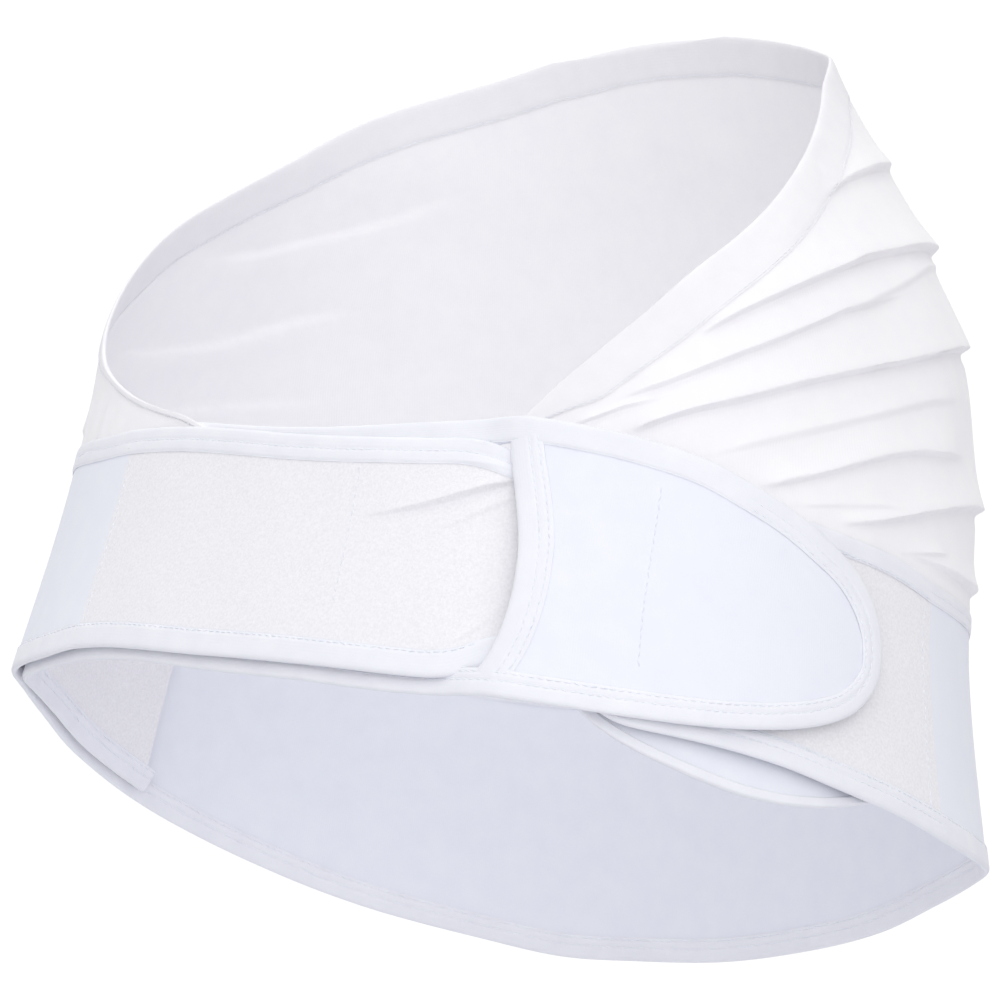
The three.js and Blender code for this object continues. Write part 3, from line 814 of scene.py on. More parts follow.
@dataclass
class BoundEdge:
    """Strip folded round the rim of a cloth; the cloth lies to the left of the path.

    The profile is carried along the path: both faces of the strip, rounded over the rim, crowned between the
    stitch rows and drawn in at them, and an inner face that clears the cloth.
    """

    name: str
    path: Array
    seat: Field
    width: Callable[[Array], Array]
    half_cloth: float = 0.6
    clearance: float = 0.25
    wall: float = 0.42
    rows: tuple[SeamRow, ...] = (SeamRow(0.56), SeamRow(0.86))
    draw_in: float = 0.18
    finish: ClothFinish = BINDING_TRICOT
    profile: tuple[tuple[float, float], ...] = (  # share of the width from the rim, share of the thickness
        (1.0, 0.3), (0.985, 0.5), (0.955, 0.72), (0.91, 0.88), (0.87, 0.95), (0.83, 0.98), (0.78, 1.0),
        (0.72, 1.0), (0.66, 1.0), (0.61, 1.0), (0.56, 1.0), (0.51, 1.0), (0.46, 1.0), (0.38, 1.0),
        (0.28, 1.0), (0.17, 0.97), (0.09, 0.86), (0.035, 0.62), (0.006, 0.3),
    )

    def stations(self) -> tuple[Array, Array, Array, Array]:
        """Places along the path.

        Returns:
            Angles, heights, inward directions in angle and height, and the run along the path.
        """
        angle, height = self.path[:, 0], self.path[:, 1]
        per_degree, per_height, _ = FORM.directions(angle, height)
        along = np.gradient(self.path, axis=0) * np.stack([per_degree, per_height], axis=-1)
        along = along / np.linalg.norm(along, axis=-1, keepdims=True)
        inward = np.stack([-along[:, 1] / per_degree, along[:, 0] / per_height], axis=-1)
        steps = np.diff(self.path, axis=0) * np.stack([per_degree, per_height], axis=-1)[1:]
        run = np.concatenate([[0], np.cumsum(np.linalg.norm(steps, axis=1))])
        return angle, height, inward, run

    def carried(self, inset: Array, lift: Array) -> Array:
        """Points at an inset from the rim and a lift from the cloth's middle, for each station.

        Args:
            inset: millimetres from the rim, stations by points.
            lift: millimetres off the cloth's middle, stations by points.

        Returns:
            Points in millimetres.
        """
        angle, height, inward, _ = self.stations()
        a = angle[:, None] + inward[:, :1] * inset
        h = height[:, None] + inward[:, 1:] * inset
        return FORM.placed(a, h, self.seat(a, h) + lift)

    def face_lifts(self, shares: Array, crown: Array) -> dict[Face, Array]:
        """Lift of both faces from the cloth's middle, stations by profile points.

        The crown dips at each row of stitches like a bell, and two slow waves make it uneven along the path.

        Args:
            shares: the profile's shares of the width.
            crown: the profile's shares of the thickness.

        Returns:
            Millimetres, by face.
        """
        stations = len(self.path)
        tuck = self.half_cloth + self.clearance
        turn, height = np.radians(self.path[:, 0]), self.path[:, 1]
        pucker = 1 + 0.05 * np.sin(28 * turn + 0.19 * height) + 0.04 * np.sin(71 * turn + 0.48 * height)
        lifts = {}
        for face in Face:
            risen = np.tile(crown, (stations, 1))
            for row in self.rows:
                dip = np.exp(-(((shares - row.share) / 0.05) ** 2)) * (face in row.faces)
                risen = risen - self.draw_in * row.along(stations)[:, None] * dip
            lifts[face] = face.value * risen * (tuck + self.wall) * pucker[:, None]
            lifts[face][:, 0] = face.value * (tuck + 0.05)
        return lifts

    def mesh(self) -> tuple[Array, Array, Array]:
        """Strip as closed rings of the profile joined along the path.

        Returns:
            Points, faces and UV.
        """
        run = self.stations()[3]
        stations = len(run)
        shares, crown = np.array(self.profile).T
        width = np.broadcast_to(np.asarray(self.width(self.path[:, 0]))[:, None], (stations, 1))
        lifts = self.face_lifts(shares, crown)
        tuck = self.half_cloth + self.clearance
        under = np.tile([-tuck, -tuck, tuck, tuck], (stations, 1))
        lift = np.concatenate([lifts[Face.OUTER], lifts[Face.INNER][:, ::-1], under], axis=1)
        shares = np.concatenate([shares, shares[::-1], [1.0, 0.12, 0.12, 1.0]])
        points = self.carried(shares * width, lift)
        number = np.arange(stations * len(shares)).reshape(stations, len(shares))
        follow = np.roll(number, -1, axis=1)
        sides = quads(number[:-1], follow[:-1], follow[1:], number[1:])
        across = run_along(np.stack([shares * width.mean(), lift[0]], axis=-1))
        uv = np.stack(np.broadcast_arrays(across[None], run[:, None]), axis=-1).reshape(-1, 2)
        outline = [Vector((share * float(width.mean()), rise, 0.0)) for share, rise in zip(shares, lift[0])]
        return points.reshape(-1, 3), np.concatenate([sides, self.caps(number, outline)]), uv

    def caps(self, number: Array, outline: list[Vector]) -> Array:
        """Faces that close both ends, turned so that they face away from the strip.

        Args:
            number: corner numbers, stations by profile points.
            outline: the first ring laid flat.

        Returns:
            Faces, with each triangle's last corner repeated.
        """
        cap = np.array([[tri[0], tri[1], tri[2], tri[2]] for tri in tessellate_polygon([outline])])
        a, b, c = (np.array([outline[k] for k in cap[:, n]]) for n in range(3))
        turned = np.cross(b - a, c - a)[:, 2] > 0
        cap = np.where(turned[:, None], cap[:, [2, 1, 0, 0]], cap)
        return np.concatenate([number[0][cap][:, [2, 1, 0, 0]], number[-1][cap]])

    def stitch_lines(self) -> list[tuple[Array, Array]]:
        """Lines that the rows of stitches follow.

        Returns:
            For each row and face, points in millimetres and the outward directions there.
        """
        half = self.half_cloth + self.clearance + self.wall
        width = np.asarray(self.width(self.path[:, 0]))[:, None] * np.ones((len(self.path), 1))
        directions = FORM.directions(self.path[:, 0], self.path[:, 1])[2]
        lines = []
        for row in self.rows:
            kept = row.along(len(self.path)) > 0
            for face in row.faces:
                lift = np.full_like(width, face.value * half * (1 - self.draw_in))
                line = self.carried(width * row.share, lift)[:, 0]
                lines.append((line[kept], directions[kept] * face.value))
        return lines

    def build(self) -> bpy.types.Object:
        """Makes the strip's object."""
        points, faces, uv = self.mesh()
        return make_object(self.name, points, faces, uv, self.finish, 60.0)


def read_along(rows: Array, run: Array, at: Array) -> Array:
    """Rows of three numbers given at a line's points, read at other distances along it."""
    return np.stack([np.interp(at, run, rows[:, k]) for k in range(3)], axis=-1)


@dataclass(frozen=True)
class StitchRun:
    """Row of machine stitches laid along a line.

    Each stitch is a thread with rounded ends: rings of five points that shrink and sink towards both
    ends, the height by a cosine of the place along the stitch.
    """

    pitch: float = 2.7
    length_share: float = 0.74
    radius: float = 0.18
    seed: int = 1

    def along(self, line: Array, outward: Array) -> tuple[Array, Array, Array]:
        """Points, faces and UV of the stitches along a line.

        Args:
            line: points in millimetres.
            outward: the cloth's outward direction at each point.

        Returns:
            Arrays of the joined stitches.
        """
        run = run_along(line)
        count = max(int(run[-1] / self.pitch), 1)
        rng = np.random.default_rng(self.seed)
        centre = (np.arange(count) + 0.5) * run[-1] / count + rng.normal(0, 0.08, count)
        half = self.pitch * self.length_share / 2 * (1 + rng.normal(0, 0.05, count))
        rings = np.array([-1.0, -0.72, 0.0, 0.72, 1.0])
        at = centre[:, None] + half[:, None] * rings
        middle = read_along(line, run, at)
        up = read_along(outward, run, at)
        ahead = read_along(line, run, at + 0.3) - read_along(line, run, at - 0.3)
        ahead /= np.linalg.norm(ahead, axis=-1, keepdims=True) + 1e-9
        side = np.cross(up, ahead)
        side /= np.linalg.norm(side, axis=-1, keepdims=True) + 1e-9
        skew = rng.normal(0, 0.12, count)[:, None, None] * rings[None, :, None] * side
        middle = middle + up * (self.radius * (0.9 * np.cos(rings * 1.5) - 0.15))[None, :, None] + skew
        size = self.radius * np.array([0.25, 0.85, 1.0, 0.85, 0.25])
        turn = np.arange(5) * math.tau / 5
        spoke = up[:, :, None] * np.cos(turn)[:, None] + side[:, :, None] * np.sin(turn)[:, None]
        points = middle[:, :, None] + spoke * size[None, :, None, None]
        number = np.arange(count * 25).reshape(count, 5, 5)
        follow = np.roll(number, -1, axis=2)
        tube = quads(number[:, :-1], number[:, 1:], follow[:, 1:], follow[:, :-1])
        head = number[:, 0][:, [0, 1, 2, 3]], number[:, 0][:, [0, 3, 4, 4]]
        tail = number[:, -1][:, [3, 2, 1, 0]], number[:, -1][:, [4, 3, 0, 0]]
        faces = np.concatenate([tube, *head, *tail])
        uv = np.stack(np.broadcast_arrays(at[:, :, None], turn), axis=-1)
        return points.reshape(-1, 3), faces, uv.reshape(-1, 2)


def stitch_object(name: str, lines: Sequence[tuple[Array, Array]], run: StitchRun) -> bpy.types.Object:
    """One object of all the stitch rows that belong together.

    Args:
        name: the piece's name.
        lines: points and outward directions of each row.
        run: how the stitches are; each row adds one to its seed.

    Returns:
        The object.
    """
    points, faces, uv, start = [], [], [], 0
    for k, (line, outward) in enumerate(lines):
        made = replace(run, seed=run.seed + k).along(line, outward)
        points.append(made[0])
        faces.append(made[1] + start)
        uv.append(made[2])
        start += len(made[0])
    return make_object(name, np.concatenate(points), np.concatenate(faces), np.concatenate(uv), THREAD, 80.0)


def finish_piece(piece: bpy.types.Object, slot: str, *nodes: str) -> bpy.types.Object:
    """Lets a piece ride on the body and hides the CAD nodes that it stands for.

    Args:
        piece: the piece.
        slot: the record's material slot; not used.
        nodes: CAD nodes that it replaces.

    Returns:
        The same piece.
    """
    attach(piece, BODY)
    if nodes:
        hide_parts(*nodes)
    LOG.info("%s: %d faces", piece.name, len(piece.data.polygons))
    return piece


def stitched(name: str, rows: Sequence[tuple[Array, Array]], seed: int) -> bpy.types.Object:
    """The stitches of one sub-assembly's strips, as a finished piece."""
    return finish_piece(stitch_object(name, rows, StitchRun(seed=seed)), "binding")


def even_width(width: float) -> Callable[[Array], Array]:
    """Width function of a strip that keeps one width."""
    return lambda angle: np.full(angle.shape, width)


def spread_rows(low: Array, top: Array, rows: int) -> Array:
    """Heights spread evenly from a low edge to a top edge, columns by rows."""
    return low + (top - low) * np.linspace(0, 1, rows)


def surface_line(angle: Array, height: Array, seat: Field, lift: float) -> tuple[Array, Array]:
    """Line on a cloth's face at angles and heights, with the face's outward directions."""
    points = FORM.placed(angle, height, seat(angle, height) + lift)
    return points, FORM.directions(angle, height)[2] * math.copysign(1, lift)


@dataclass
class SupportBand:
    """Foam-laminated band round the back and both sides, with its two bound edges."""

    start: float = 98.0
    end: float = 330.0
    overlap: float = 0.5
    half_wall: float = 0.6
    setback: float = 3.0
    bottom_width: float = 8.5
    top_width: float = 8.8
    narrow_width: float = 7.0
    strip_wall: float = 0.36  # thinner than the wings' strips, so that the ends slip under theirs

    def rim(self, column: int) -> Array:
        """Rim path along one edge of the band, led a little past both seams.

        Args:
            column: the table's column of that edge.

        Returns:
            Rows of angle and height.
        """
        angle = np.linspace(self.start - self.overlap, self.end + self.overlap, 400)
        return np.stack([angle, BELT_HEIGHT * BAND.cubic(column, angle)], axis=-1)

    def build(self) -> list[bpy.types.Object]:
        """Builds the band, its bindings and its stitches.

        Returns:
            The pieces.
        """
        angle = np.linspace(self.start, self.end, 240)[:, None]
        low = BELT_HEIGHT * BAND.cubic(1, angle) + self.setback
        top = BELT_HEIGHT * BAND.cubic(2, angle) - self.setback
        height = spread_rows(low, top, 26)
        angle = np.broadcast_to(angle, height.shape)
        band = finish_piece(
            cloth_piece("support_band_cloth", angle, height, band_seat, self.half_wall, LAMINATE_TRICOT),
            "laminate", "support_band",
        )
        bottom = BoundEdge(
            "band_bottom_binding_strip", smoothed(self.rim(1), 0, 2.0), band_seat,
            even_width(self.bottom_width), wall=self.strip_wall,
            rows=(
                SeamRow(0.9, faces=(Face.OUTER,)), SeamRow(0.55, faces=(Face.INNER,)),
                SeamRow(0.88, faces=(Face.INNER,)),
            ),
        )
        top_edge = BoundEdge(
            "band_top_binding_strip", smoothed(self.rim(2)[::-1], 0, 2.2), band_seat,
            lambda a: self.narrow_width + (self.top_width - self.narrow_width) * ease(250, 300, a),
            wall=self.strip_wall, rows=(SeamRow(0.52),),
        )
        bottom_piece = finish_piece(bottom.build(), "binding", "band_bottom_binding")
        top_piece = finish_piece(top_edge.build(), "binding", "band_top_binding")
        stitches = stitched("band_bottom_stitches", bottom.stitch_lines(), 10)
        stitches_top = stitched("band_top_stitches", top_edge.stitch_lines(), 20)
        return [band, bottom_piece, top_piece, stitches, stitches_top]


def wing_rim(table: Table, start: float, end: float, count: int) -> Array:
    """Rim path: along the low edge, round the far end and back along the top edge.

    Args:
        table: the wing's edges.
        start: angle of its seam.
        end: angle of its far end.
        count: points along each edge.

    Returns:
        Rows of angle and height.
    """
    angle = np.linspace(start, end, count)
    low = np.stack([angle, BELT_HEIGHT * table.cubic(1, angle)], axis=-1)
    top = np.stack([angle, BELT_HEIGHT * table.cubic(2, angle)], axis=-1)[::-1]
    return np.concatenate([low, top])


def wing_grid(
    table: Table, angle: Array, rows: int, setback: float, creases: Sequence[Crease] = ()
) -> tuple[Array, Array]:
    """Grid between the low and top edges, drawn in square to the edges' own slopes.

    Args:
        table: the wing's edges.
        angle: angle of each column.
        rows: number of rows.
        setback: how far the cloth ends inside its rim, in millimetres.
        creases: lines that draw the rows together.

    Returns:
        Angles and heights, columns by rows.
    """
    middle = BELT_HEIGHT * (table.cubic(1, angle) + table.cubic(2, angle)) / 2
    per_degree = FORM.directions(angle, middle)[0]
    edges = []
    for column, sign in ((1, 1.0), (2, -1.0)):
        rise = BELT_HEIGHT * (table.cubic(column, angle + 0.3) - table.cubic(column, angle - 0.3))
        slope = np.hypot(1, rise / (0.6 * per_degree))
        edges.append(BELT_HEIGHT * table.cubic(column, angle) + sign * setback * np.clip(slope, 1, 3))
    low, top = edges
    height = crowded_rows(low, top, angle, creases, rows)
    return np.broadcast_to(angle[:, None], height.shape), height


def cloth_piece(
    name: str, angle: Array, height: Array, seat: Field, half_wall: float, finish: ClothFinish,
    present: Array | None = None, second: ClothFinish | None = None, where: Field | None = None,
) -> bpy.types.Object:
    """Sheet of cloth on a grid of angles and heights, with a wall of twice the half wall.

    Args:
        name: the piece's name.
        angle: degrees at each grid point.
        height: millimetres at each grid point.
        seat: offset of the cloth's middle.
        half_wall: half the wall in millimetres.
        finish: what the cloth is made of.
        present: which cells are there.
        second: what part of it is made of.
        where: tells from the angle and the face, 1 outside and 0 inside, which corners are of the second
            finish.

    Returns:
        The sheet's object.
    """
    middle = seat(angle, height)
    outer = FORM.placed(angle, height, middle + half_wall)
    inner = FORM.placed(angle, height, middle - half_wall)
    points, faces, used = walled_grid(outer, inner, present)
    uv = np.tile(np.stack([angle * DEGREE_MM, height], -1).reshape(-1, 2), (2, 1))[used]
    made = make_object(name, points, faces, uv, finish)
    if second is not None and where is not None:
        made.data.materials.append(FINISHES.get(second))
        other = where(np.tile(angle.ravel(), 2)[used], (used < angle.size).astype(float))
        made.data.polygons.foreach_set("material_index", other[faces].all(axis=1).astype(np.int32))
    return made


@dataclass
class RightWing:
    """Loop cloth wing from the wearer's right, outside up to the slot and inside after it."""

    start: float = -30.0
    end: float = 95.5
    seam: float = -29.2
    seam_low: float = -46.5
    seam_top: float = 8.0
    second_seam: float = 21.5
    second_seam_top: float = -3.0
    smooth_after: float = 47.0
    half_wall: float = 0.6
    bottom_width: float = 8.5
    top_width: float = 8.8
    end_width: float = 3.3

    def width(self, angle: Array) -> Array:
        """Binding width: narrow round the hidden end, wider along both edges outside.

        Args:
            angle: degrees at the path's points, the low edge first and the top edge after it.

        Returns:
            Millimetres.
        """
        along = np.linspace(0, 1, len(angle))
        low = self.bottom_width + (self.end_width - self.bottom_width) * ease(44, 52, angle)
        top = self.top_width + (self.end_width - self.top_width) * ease(44, 52, angle)
        return np.where(along < 0.5, low, top)

    def build(self) -> list[bpy.types.Object]:
        """Builds the wing, its binding and its stitches.

        Returns:
            The pieces.
        """
        even, by_slot = np.linspace(self.start, self.end - 1.6, 118), np.linspace(24, 50, 80)
        columns = np.unique(np.concatenate([even, by_slot]))
        angle, height = wing_grid(RIGHT_WING, columns, 96, 3.0, SLOT_PINCH)
        wing = finish_piece(
            cloth_piece(
                "right_wing_cloth", angle, height, right_seat, self.half_wall, LOOP_TRICOT, None,
                LAMINATE_TRICOT, lambda a, outside: (a > self.smooth_after) | (outside < 0.5),
            ),
            "loop_cloth", "right_wing",
        )
        rim = BoundEdge(
            "right_wing_binding_strip", smoothed(wing_rim(RIGHT_WING, self.start, self.end, 260), 3.0, 1.8),
            right_seat, self.width, rows=(SeamRow(0.9, 0.0, 0.27), SeamRow(0.52, 0.73, 1.0)),
        )
        strip = finish_piece(rim.build(), "binding", "right_wing_binding")
        rows = rim.stitch_lines()
        seams = ((self.seam, self.seam_top, 0.0), (self.second_seam, self.second_seam_top, 0.6))
        for seam, top, bend in seams:
            z = np.linspace(self.seam_low, top, 60)
            angle = seam + bend * (1 - ease(-50, 8, z))
            rows.append(surface_line(angle, z, right_seat, self.half_wall + 0.05))
        stitches = stitched("right_wing_stitches", rows, 30)
        return [wing, strip, stitches]


@dataclass
class LeftWing:
    """Loop cloth wing from the wearer's left, under the tab."""

    start: float = 51.5
    end: float = 98.0
    half_wall: float = 0.6
    top_width: float = 7.0
    bottom_width: float = 8.5
    seam: float = 96.6
    seam_low: float = -108.0
    seam_top: float = -44.0

    def width(self, angle: Array) -> Array:
        """Binding width: narrow along the top edge, which comes first, and wider along the bottom edge."""
        along = np.linspace(0, 1, len(angle))
        return self.top_width + (self.bottom_width - self.top_width) * ease(0.42, 0.58, along)

    def build(self) -> list[bpy.types.Object]:
        """Builds the wing, its binding and its stitches.

        Returns:
            The pieces.
        """
        columns = np.linspace(self.start + 1.5, self.end, 52)
        angle, height = wing_grid(LEFT_WING, columns, 30, 3.0)
        wing = finish_piece(
            cloth_piece("left_wing_cloth", angle, height, left_seat, self.half_wall, LOOP_TRICOT),
            "loop_cloth", "left_wing",
        )
        low_first = wing_rim(LEFT_WING, self.start, self.end, 140)
        half = len(low_first) // 2
        path = np.concatenate([low_first[half:], low_first[:half]])
        rim = BoundEdge(
            "left_wing_binding_strip", smoothed(path, 3.0, 2.0), left_seat, self.width,
            rows=(SeamRow(0.9, 0.0, 0.45), SeamRow(0.56, 0.55, 1.0), SeamRow(0.88, 0.55, 1.0)),
        )
        strip = finish_piece(rim.build(), "binding", "left_wing_binding")
        rows = rim.stitch_lines()
        z = np.linspace(self.seam_low, self.seam_top, 60)
        angle = self.seam - 0.4 * (1 - ease(-110, -70, z))
        rows.append(surface_line(angle, z, left_seat, self.half_wall + 0.05))
        stitches = stitched("left_wing_stitches", rows, 50)
        return [wing, strip, stitches]


def slot_shift(angle: Array, height: Array) -> Array:
    """How far the tab's cloth near the slot is drawn round so that its edge follows the stitched edge.

    Args:
        angle: degrees round the body.
        height: millimetres.

    Returns:
        Degrees.
    """
    near = 1 - ease(0, 9.0, np.abs(angle - SLOT_END))
    return (SLOT_EDGE.cubic(1, height) + 0.9 - SLOT_END) * near


@dataclass
class TabWing:
    """Laminated wing: root inside the wearer's right, slot with its wide strip, then the rounded tab."""

    start: float = -95.0
    end: float = 87.4
    slot_start: float = 36.5
    slot_end: float = SLOT_END
    slot_low: float = -70.5
    slot_top: float = 2.0
    half_wall: float = 0.6
    width: float = 8.5
    strip_width: float = 10.5
    strip_top: float = 1.5
    strip_low: float = -69.5
    patch_seam: float = 60.0
    patch_seam_low: float = -70.0
    patch_seam_top: float = -14.0
    patch_start: float = 60.5
    patch_end: float = 82.0
    patch_inset: float = 18.0
    lined_before: float = -50.0

    def grid(self) -> tuple[Array, Array, Array]:
        """Grid of the tab's cloth, whose rows gather at the slot's two ends.

        Returns:
            Angles and heights, columns by rows, and which cells are there.
        """
        end_rows, middle_rows = 6, 24
        even, by_slot = np.linspace(self.start + 0.08, self.end - 1.4, 150), np.linspace(34, 60, 60)
        columns = np.unique(np.concatenate([even, by_slot, [self.slot_start, self.slot_end]]))
        angle, ends = wing_grid(TAB_WING, columns, 2, 3.0)
        low, top = ends[:, :1], ends[:, 1:]
        reach = np.minimum((top - low) * 0.24, np.maximum(self.slot_low - low, 2))
        crest = np.minimum((top - low) * 0.24, np.maximum(top - self.slot_top, 2))
        bottom = low + reach * np.linspace(0, 1, end_rows)[None, :-1]
        middle = low + reach + (top - crest - low - reach) * np.linspace(0, 1, middle_rows)[None]
        upper = top - crest * np.linspace(1, 0, end_rows)[None, 1:]
        height = np.concatenate([bottom, middle, upper], axis=1)
        angle = np.broadcast_to(angle[:, :1], height.shape)
        column_in = (columns[:-1] > self.slot_start - 0.01) & (columns[1:] < self.slot_end + 0.01)
        rows = np.arange(height.shape[1] - 1) - (end_rows - 1)
        present = ~(column_in[:, None] & ((rows >= 0) & (rows < middle_rows - 1))[None])
        return angle + slot_shift(angle, height), height, present

    def strip(self) -> BoundEdge:
        """Wide strip along the slot's edge on the tab's side.

        Returns:
            The strip, not yet built.
        """
        z = np.linspace(self.strip_top, self.strip_low, 80)
        path = np.stack([SLOT_EDGE.cubic(1, z), z], axis=-1)
        return BoundEdge(
            "slot_binding_strip", smoothed(path, 1.0, 1.6), tab_seat, even_width(self.strip_width),
            clearance=0.2, wall=0.4,
            rows=(SeamRow(0.6, faces=(Face.OUTER,)), SeamRow(0.86, faces=(Face.OUTER,))),
        )

    def build(self) -> list[bpy.types.Object]:
        """Builds the tab wing, its binding, the slot's strip, the hook patch and the stitches.

        Returns:
            The pieces.
        """
        angle, height, present = self.grid()
        tab = cloth_piece(
            "tab_wing_cloth", angle, height, tab_seat, self.half_wall, LAMINATE_TRICOT, present,
            LOOP_TRICOT, lambda a, outside: (a < self.lined_before) & (outside < 0.5),
        )
        finish_piece(tab, "laminate", "tab_wing")
        rim = BoundEdge(
            "tab_wing_binding_strip", smoothed(wing_rim(TAB_WING, self.start, self.end, 420), 3.0, 1.8),
            tab_seat, even_width(self.width), rows=(SeamRow(0.56, 0.0, 0.56), SeamRow(0.86, 0.0, 0.56)),
        )
        binding = finish_piece(rim.build(), "binding", "tab_wing_binding")
        slot = self.strip()
        slot_piece = finish_piece(slot.build(), "binding", "slot_binding")
        rows = rim.stitch_lines()
        z = np.linspace(self.patch_seam_low, self.patch_seam_top, 50)
        rows.append(surface_line(self.patch_seam + 0 * z, z, tab_seat, self.half_wall + 0.05))
        stitches = stitched("tab_wing_stitches", rows, 70)
        slot_stitches = stitched("slot_stitches", slot.stitch_lines(), 90)
        return [tab, binding, slot_piece, stitches, slot_stitches, self.patch()]

    def patch(self) -> bpy.types.Object:
        """Builds the hook tape behind the tab, half a layer under it.

        Returns:
            The piece.
        """
        columns = np.linspace(self.patch_start, self.patch_end, 24)
        low = BELT_HEIGHT * TAB_WING.cubic(1, columns)[:, None] + self.patch_inset
        top = BELT_HEIGHT * TAB_WING.cubic(2, columns)[:, None] - self.patch_inset
        height = spread_rows(low, top, 16)
        angle = np.broadcast_to(columns[:, None], height.shape)
        piece = cloth_piece(
            "hook_patch_tape", angle, height, lambda a, h: 1.5 * LAYER_PITCH + 0 * a, self.half_wall,
            HOOK_TAPE,
        )
        finish_piece(piece, "hook_cloth", "hook_patch")
        return piece


@dataclass
class JerseyPanel:
    """Stretch jersey above the band, gathered at both sides, with its folded hem."""

    start: float = 42.0
    end: float = 348.0
    half_wall: float = 0.5
    hem_width: float = 14.0
    left_width: float = 4.0
    right_width: float = 1.8

    def width(self, angle: Array) -> Array:
        """Hem width, narrowing at both front ends.

        Args:
            angle: degrees round the body.

        Returns:
            Millimetres.
        """
        left = self.left_width + (self.hem_width - self.left_width) * ease(41, 50, angle)
        right = self.right_width + (self.hem_width - self.right_width) * (1 - ease(292, 318, angle))
        return np.minimum(left, right)

    def build(self) -> list[bpy.types.Object]:
        """Builds the jersey, its hem and the hem's stitches.

        Returns:
            The pieces.
        """
        columns = np.unique(np.concatenate([
            np.linspace(self.start, 118, 168), np.linspace(118, 230, 44), np.linspace(230, self.end, 88),
        ]))
        low = jersey_low(columns)
        top = np.maximum(jersey_top(columns) - 0.22 * self.width(columns), low + 0.6)
        height = crowded_rows(low, top, columns, LEFT_GATHERS, 164)
        angle = np.broadcast_to(columns[:, None], height.shape)
        jersey = cloth_piece("jersey_panel_cloth", angle, height, jersey_seat, self.half_wall, JERSEY_KNIT)
        finish_piece(jersey, "jersey", "jersey_panel")
        around = np.linspace(self.start, self.end, 500)
        path = np.stack([around, jersey_top(around)], axis=-1)[::-1]
        rim = BoundEdge(
            "jersey_hem_fold", smoothed(path, 0, 2.0), jersey_seat, self.width,
            half_cloth=self.half_wall, clearance=0.1, wall=0.3, rows=(SeamRow(0.95),), draw_in=0.15,
            finish=JERSEY_HEM,
        )
        hem = finish_piece(rim.build(), "jersey", "jersey_hem")
        fine = StitchRun(pitch=2.2, length_share=0.8, radius=0.12, seed=110)
        stitches = finish_piece(stitch_object("jersey_hem_stitches", rim.stitch_lines(), fine), "jersey")
        return [jersey, hem, stitches]


@dataclass(frozen=True)
class SoftBox:
    """Square soft box aimed at the origin, in metres and watts."""

    name: str
    place: tuple[float, float, float]
    size: float
    watts: float

    def build(self) -> None:
        """Adds the lamp."""
        data = bpy.data.lights.new(self.name, "AREA")
        data.size = self.size
        data.energy = self.watts
        lamp = bpy.data.objects.new(self.name, data)
        bpy.context.scene.collection.objects.link(lamp)
        lamp.location = self.place
        lamp.rotation_euler = (-Vector(self.place)).to_track_quat("-Z", "Y").to_euler()


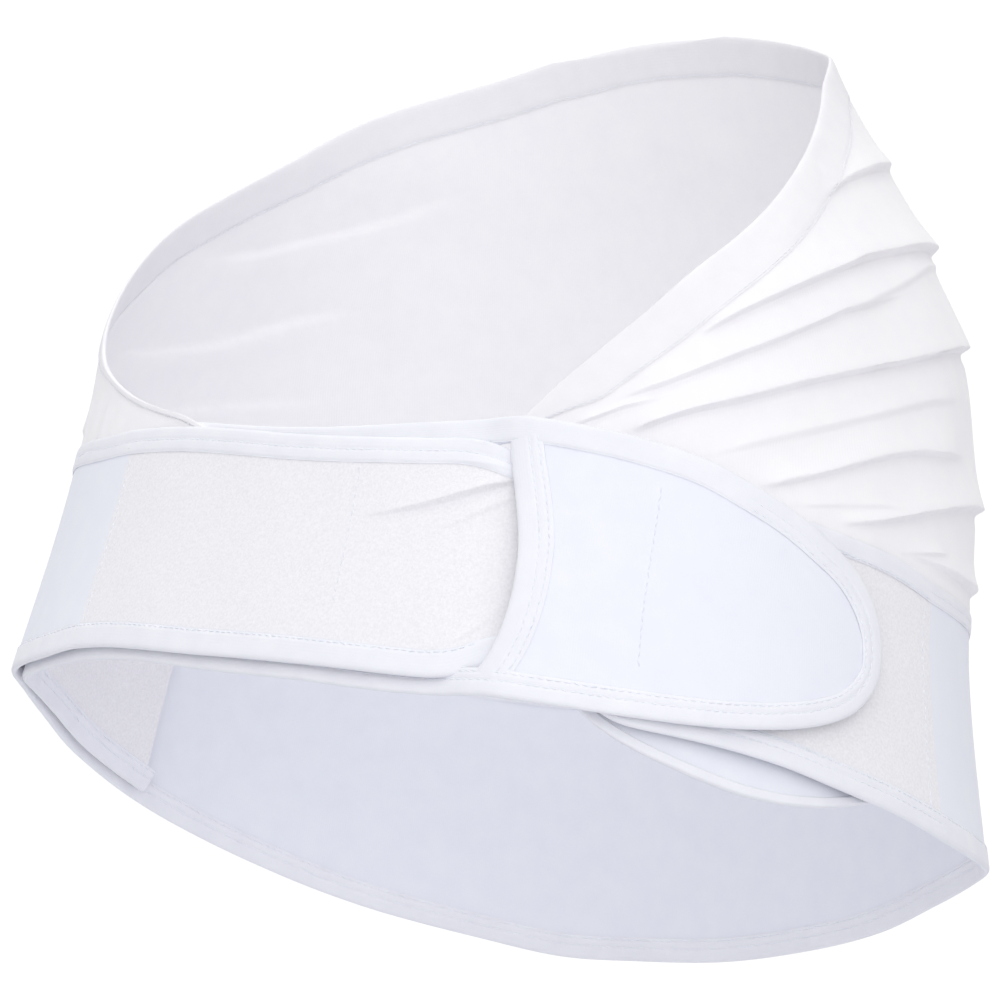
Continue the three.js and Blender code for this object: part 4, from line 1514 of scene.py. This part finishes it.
@dataclass
class Studio:
    """Pale floor, white surroundings, soft lights and the camera."""

    azimuth: float = 42.0
    elevation: float = -6.0
    distance: float = 1.6
    lens: float = 172.8
    floor_height: float = -0.55
    floor_reach: float = 3.6
    backdrop: float = 1.05
    strengths: tuple[float, ...] = (0.25, 0.14, 1.5, 1.2, 1.32, 0.3)  # right, left, near, far, above, below
    soft_boxes: tuple[SoftBox, ...] = (
        SoftBox("left_soft_box", (-0.9, -1.3, 1.3), 1.6, 2.25),
        SoftBox("near_soft_box", (1.4, -1.6, 0.2), 1.2, 1.25),
    )

    def camera(self) -> None:
        """Camera at the photograph's angle, aimed at the origin."""
        data = bpy.data.cameras.new("camera")
        data.lens = self.lens
        data.sensor_width = 36.0
        camera = bpy.data.objects.new("camera", data)
        bpy.context.scene.collection.objects.link(camera)
        a, e = math.radians(self.azimuth), math.radians(self.elevation)
        away = Vector((math.sin(a) * math.cos(e), -math.cos(a) * math.cos(e), math.sin(e)))
        camera.location = away * self.distance
        camera.rotation_euler = (-away).to_track_quat("-Z", "Y").to_euler()
        bpy.context.scene.camera = camera

    def floor(self) -> None:
        """Wide pale floor below the belt."""
        mesh = bpy.data.meshes.new("studio_floor")
        reach, z = self.floor_reach, self.floor_height
        corners = [(-reach, -reach, z), (reach, -reach, z), (reach, reach, z), (-reach, reach, z)]
        mesh.from_pydata(corners, [], [(0, 1, 2, 3)])
        material = bpy.data.materials.new("matt_seamless_paper")
        material.use_nodes = True
        shader = material.node_tree.nodes["Principled BSDF"]
        shader.inputs["Base Color"].default_value = linear("#DCDCE0")
        shader.inputs["Roughness"].default_value = 0.9
        mesh.materials.append(material)
        floor = bpy.data.objects.new("studio_floor", mesh)
        bpy.context.scene.collection.objects.link(floor)

    def surroundings(self) -> None:
        """White surroundings: full white behind the belt, and softly uneven as light.

        The light from a direction is the sum over six headings of a strength times the squared share of the
        direction along that heading, so equal strengths make even light. The headings are the picture's
        right, left, near side, far side, above and below.
        """
        right, left, near, far, above, below = self.strengths
        world = bpy.data.worlds.new("studio_white")
        world.use_nodes = True
        tree = world.node_tree
        tree.nodes.clear()
        ray = add_node(tree, "ShaderNodeLightPath").outputs["Is Camera Ray"]
        direction = add_node(tree, "ShaderNodeTexCoord").outputs["Generated"]
        turned = add_node(
            tree, "ShaderNodeVectorRotate", {"rotation_type": "Z_AXIS"},
            {"Angle": -math.radians(self.azimuth)}, {"Vector": direction},
        ).outputs[0]
        halves = []
        for operation, half in (("MAXIMUM", (right, far, above)), ("MINIMUM", (left, near, below))):
            part = add_node(
                tree, "ShaderNodeVectorMath", {"operation": operation}, {1: (0.0,) * 3}, {0: turned}
            ).outputs[0]
            squared = add_node(
                tree, "ShaderNodeVectorMath", {"operation": "MULTIPLY"}, None, {0: part, 1: part}
            ).outputs[0]
            halves.append(add_node(
                tree, "ShaderNodeVectorMath", {"operation": "DOT_PRODUCT"}, {1: half}, {0: squared}
            ).outputs["Value"])
        both = dict(enumerate(halves))
        total = add_node(tree, "ShaderNodeMath", {"operation": "ADD"}, None, both).outputs[0]
        white = linear("#FFFFFF")
        dim = add_node(tree, "ShaderNodeBackground", values={"Color": white}, links={"Strength": total})
        full = add_node(tree, "ShaderNodeBackground", values={"Color": white, "Strength": self.backdrop})
        mix = add_node(tree, "ShaderNodeMixShader", links={0: ray, 1: dim.outputs[0], 2: full.outputs[0]})
        add_node(tree, "ShaderNodeOutputWorld", links={"Surface": mix.outputs[0]})
        bpy.context.scene.world = world

    def build(self) -> None:
        """Sets the whole studio."""
        self.camera()
        self.floor()
        self.surroundings()
        for soft_box in self.soft_boxes:
            soft_box.build()
        view = bpy.context.scene.view_settings
        view.view_transform = "Standard"
        view.look = "None"


def main() -> None:
    """Builds the studio and every sub-assembly, and reports each piece."""
    logging.basicConfig(level=logging.INFO, format="%(message)s")
    Studio().build()
    for assembly in (SupportBand(), RightWing(), LeftWing(), TabWing(), JerseyPanel()):
        made = assembly.build()
        LOG.info("%s: %d pieces", type(assembly).__name__, len(made))


if __name__ == "__main__":
    main()
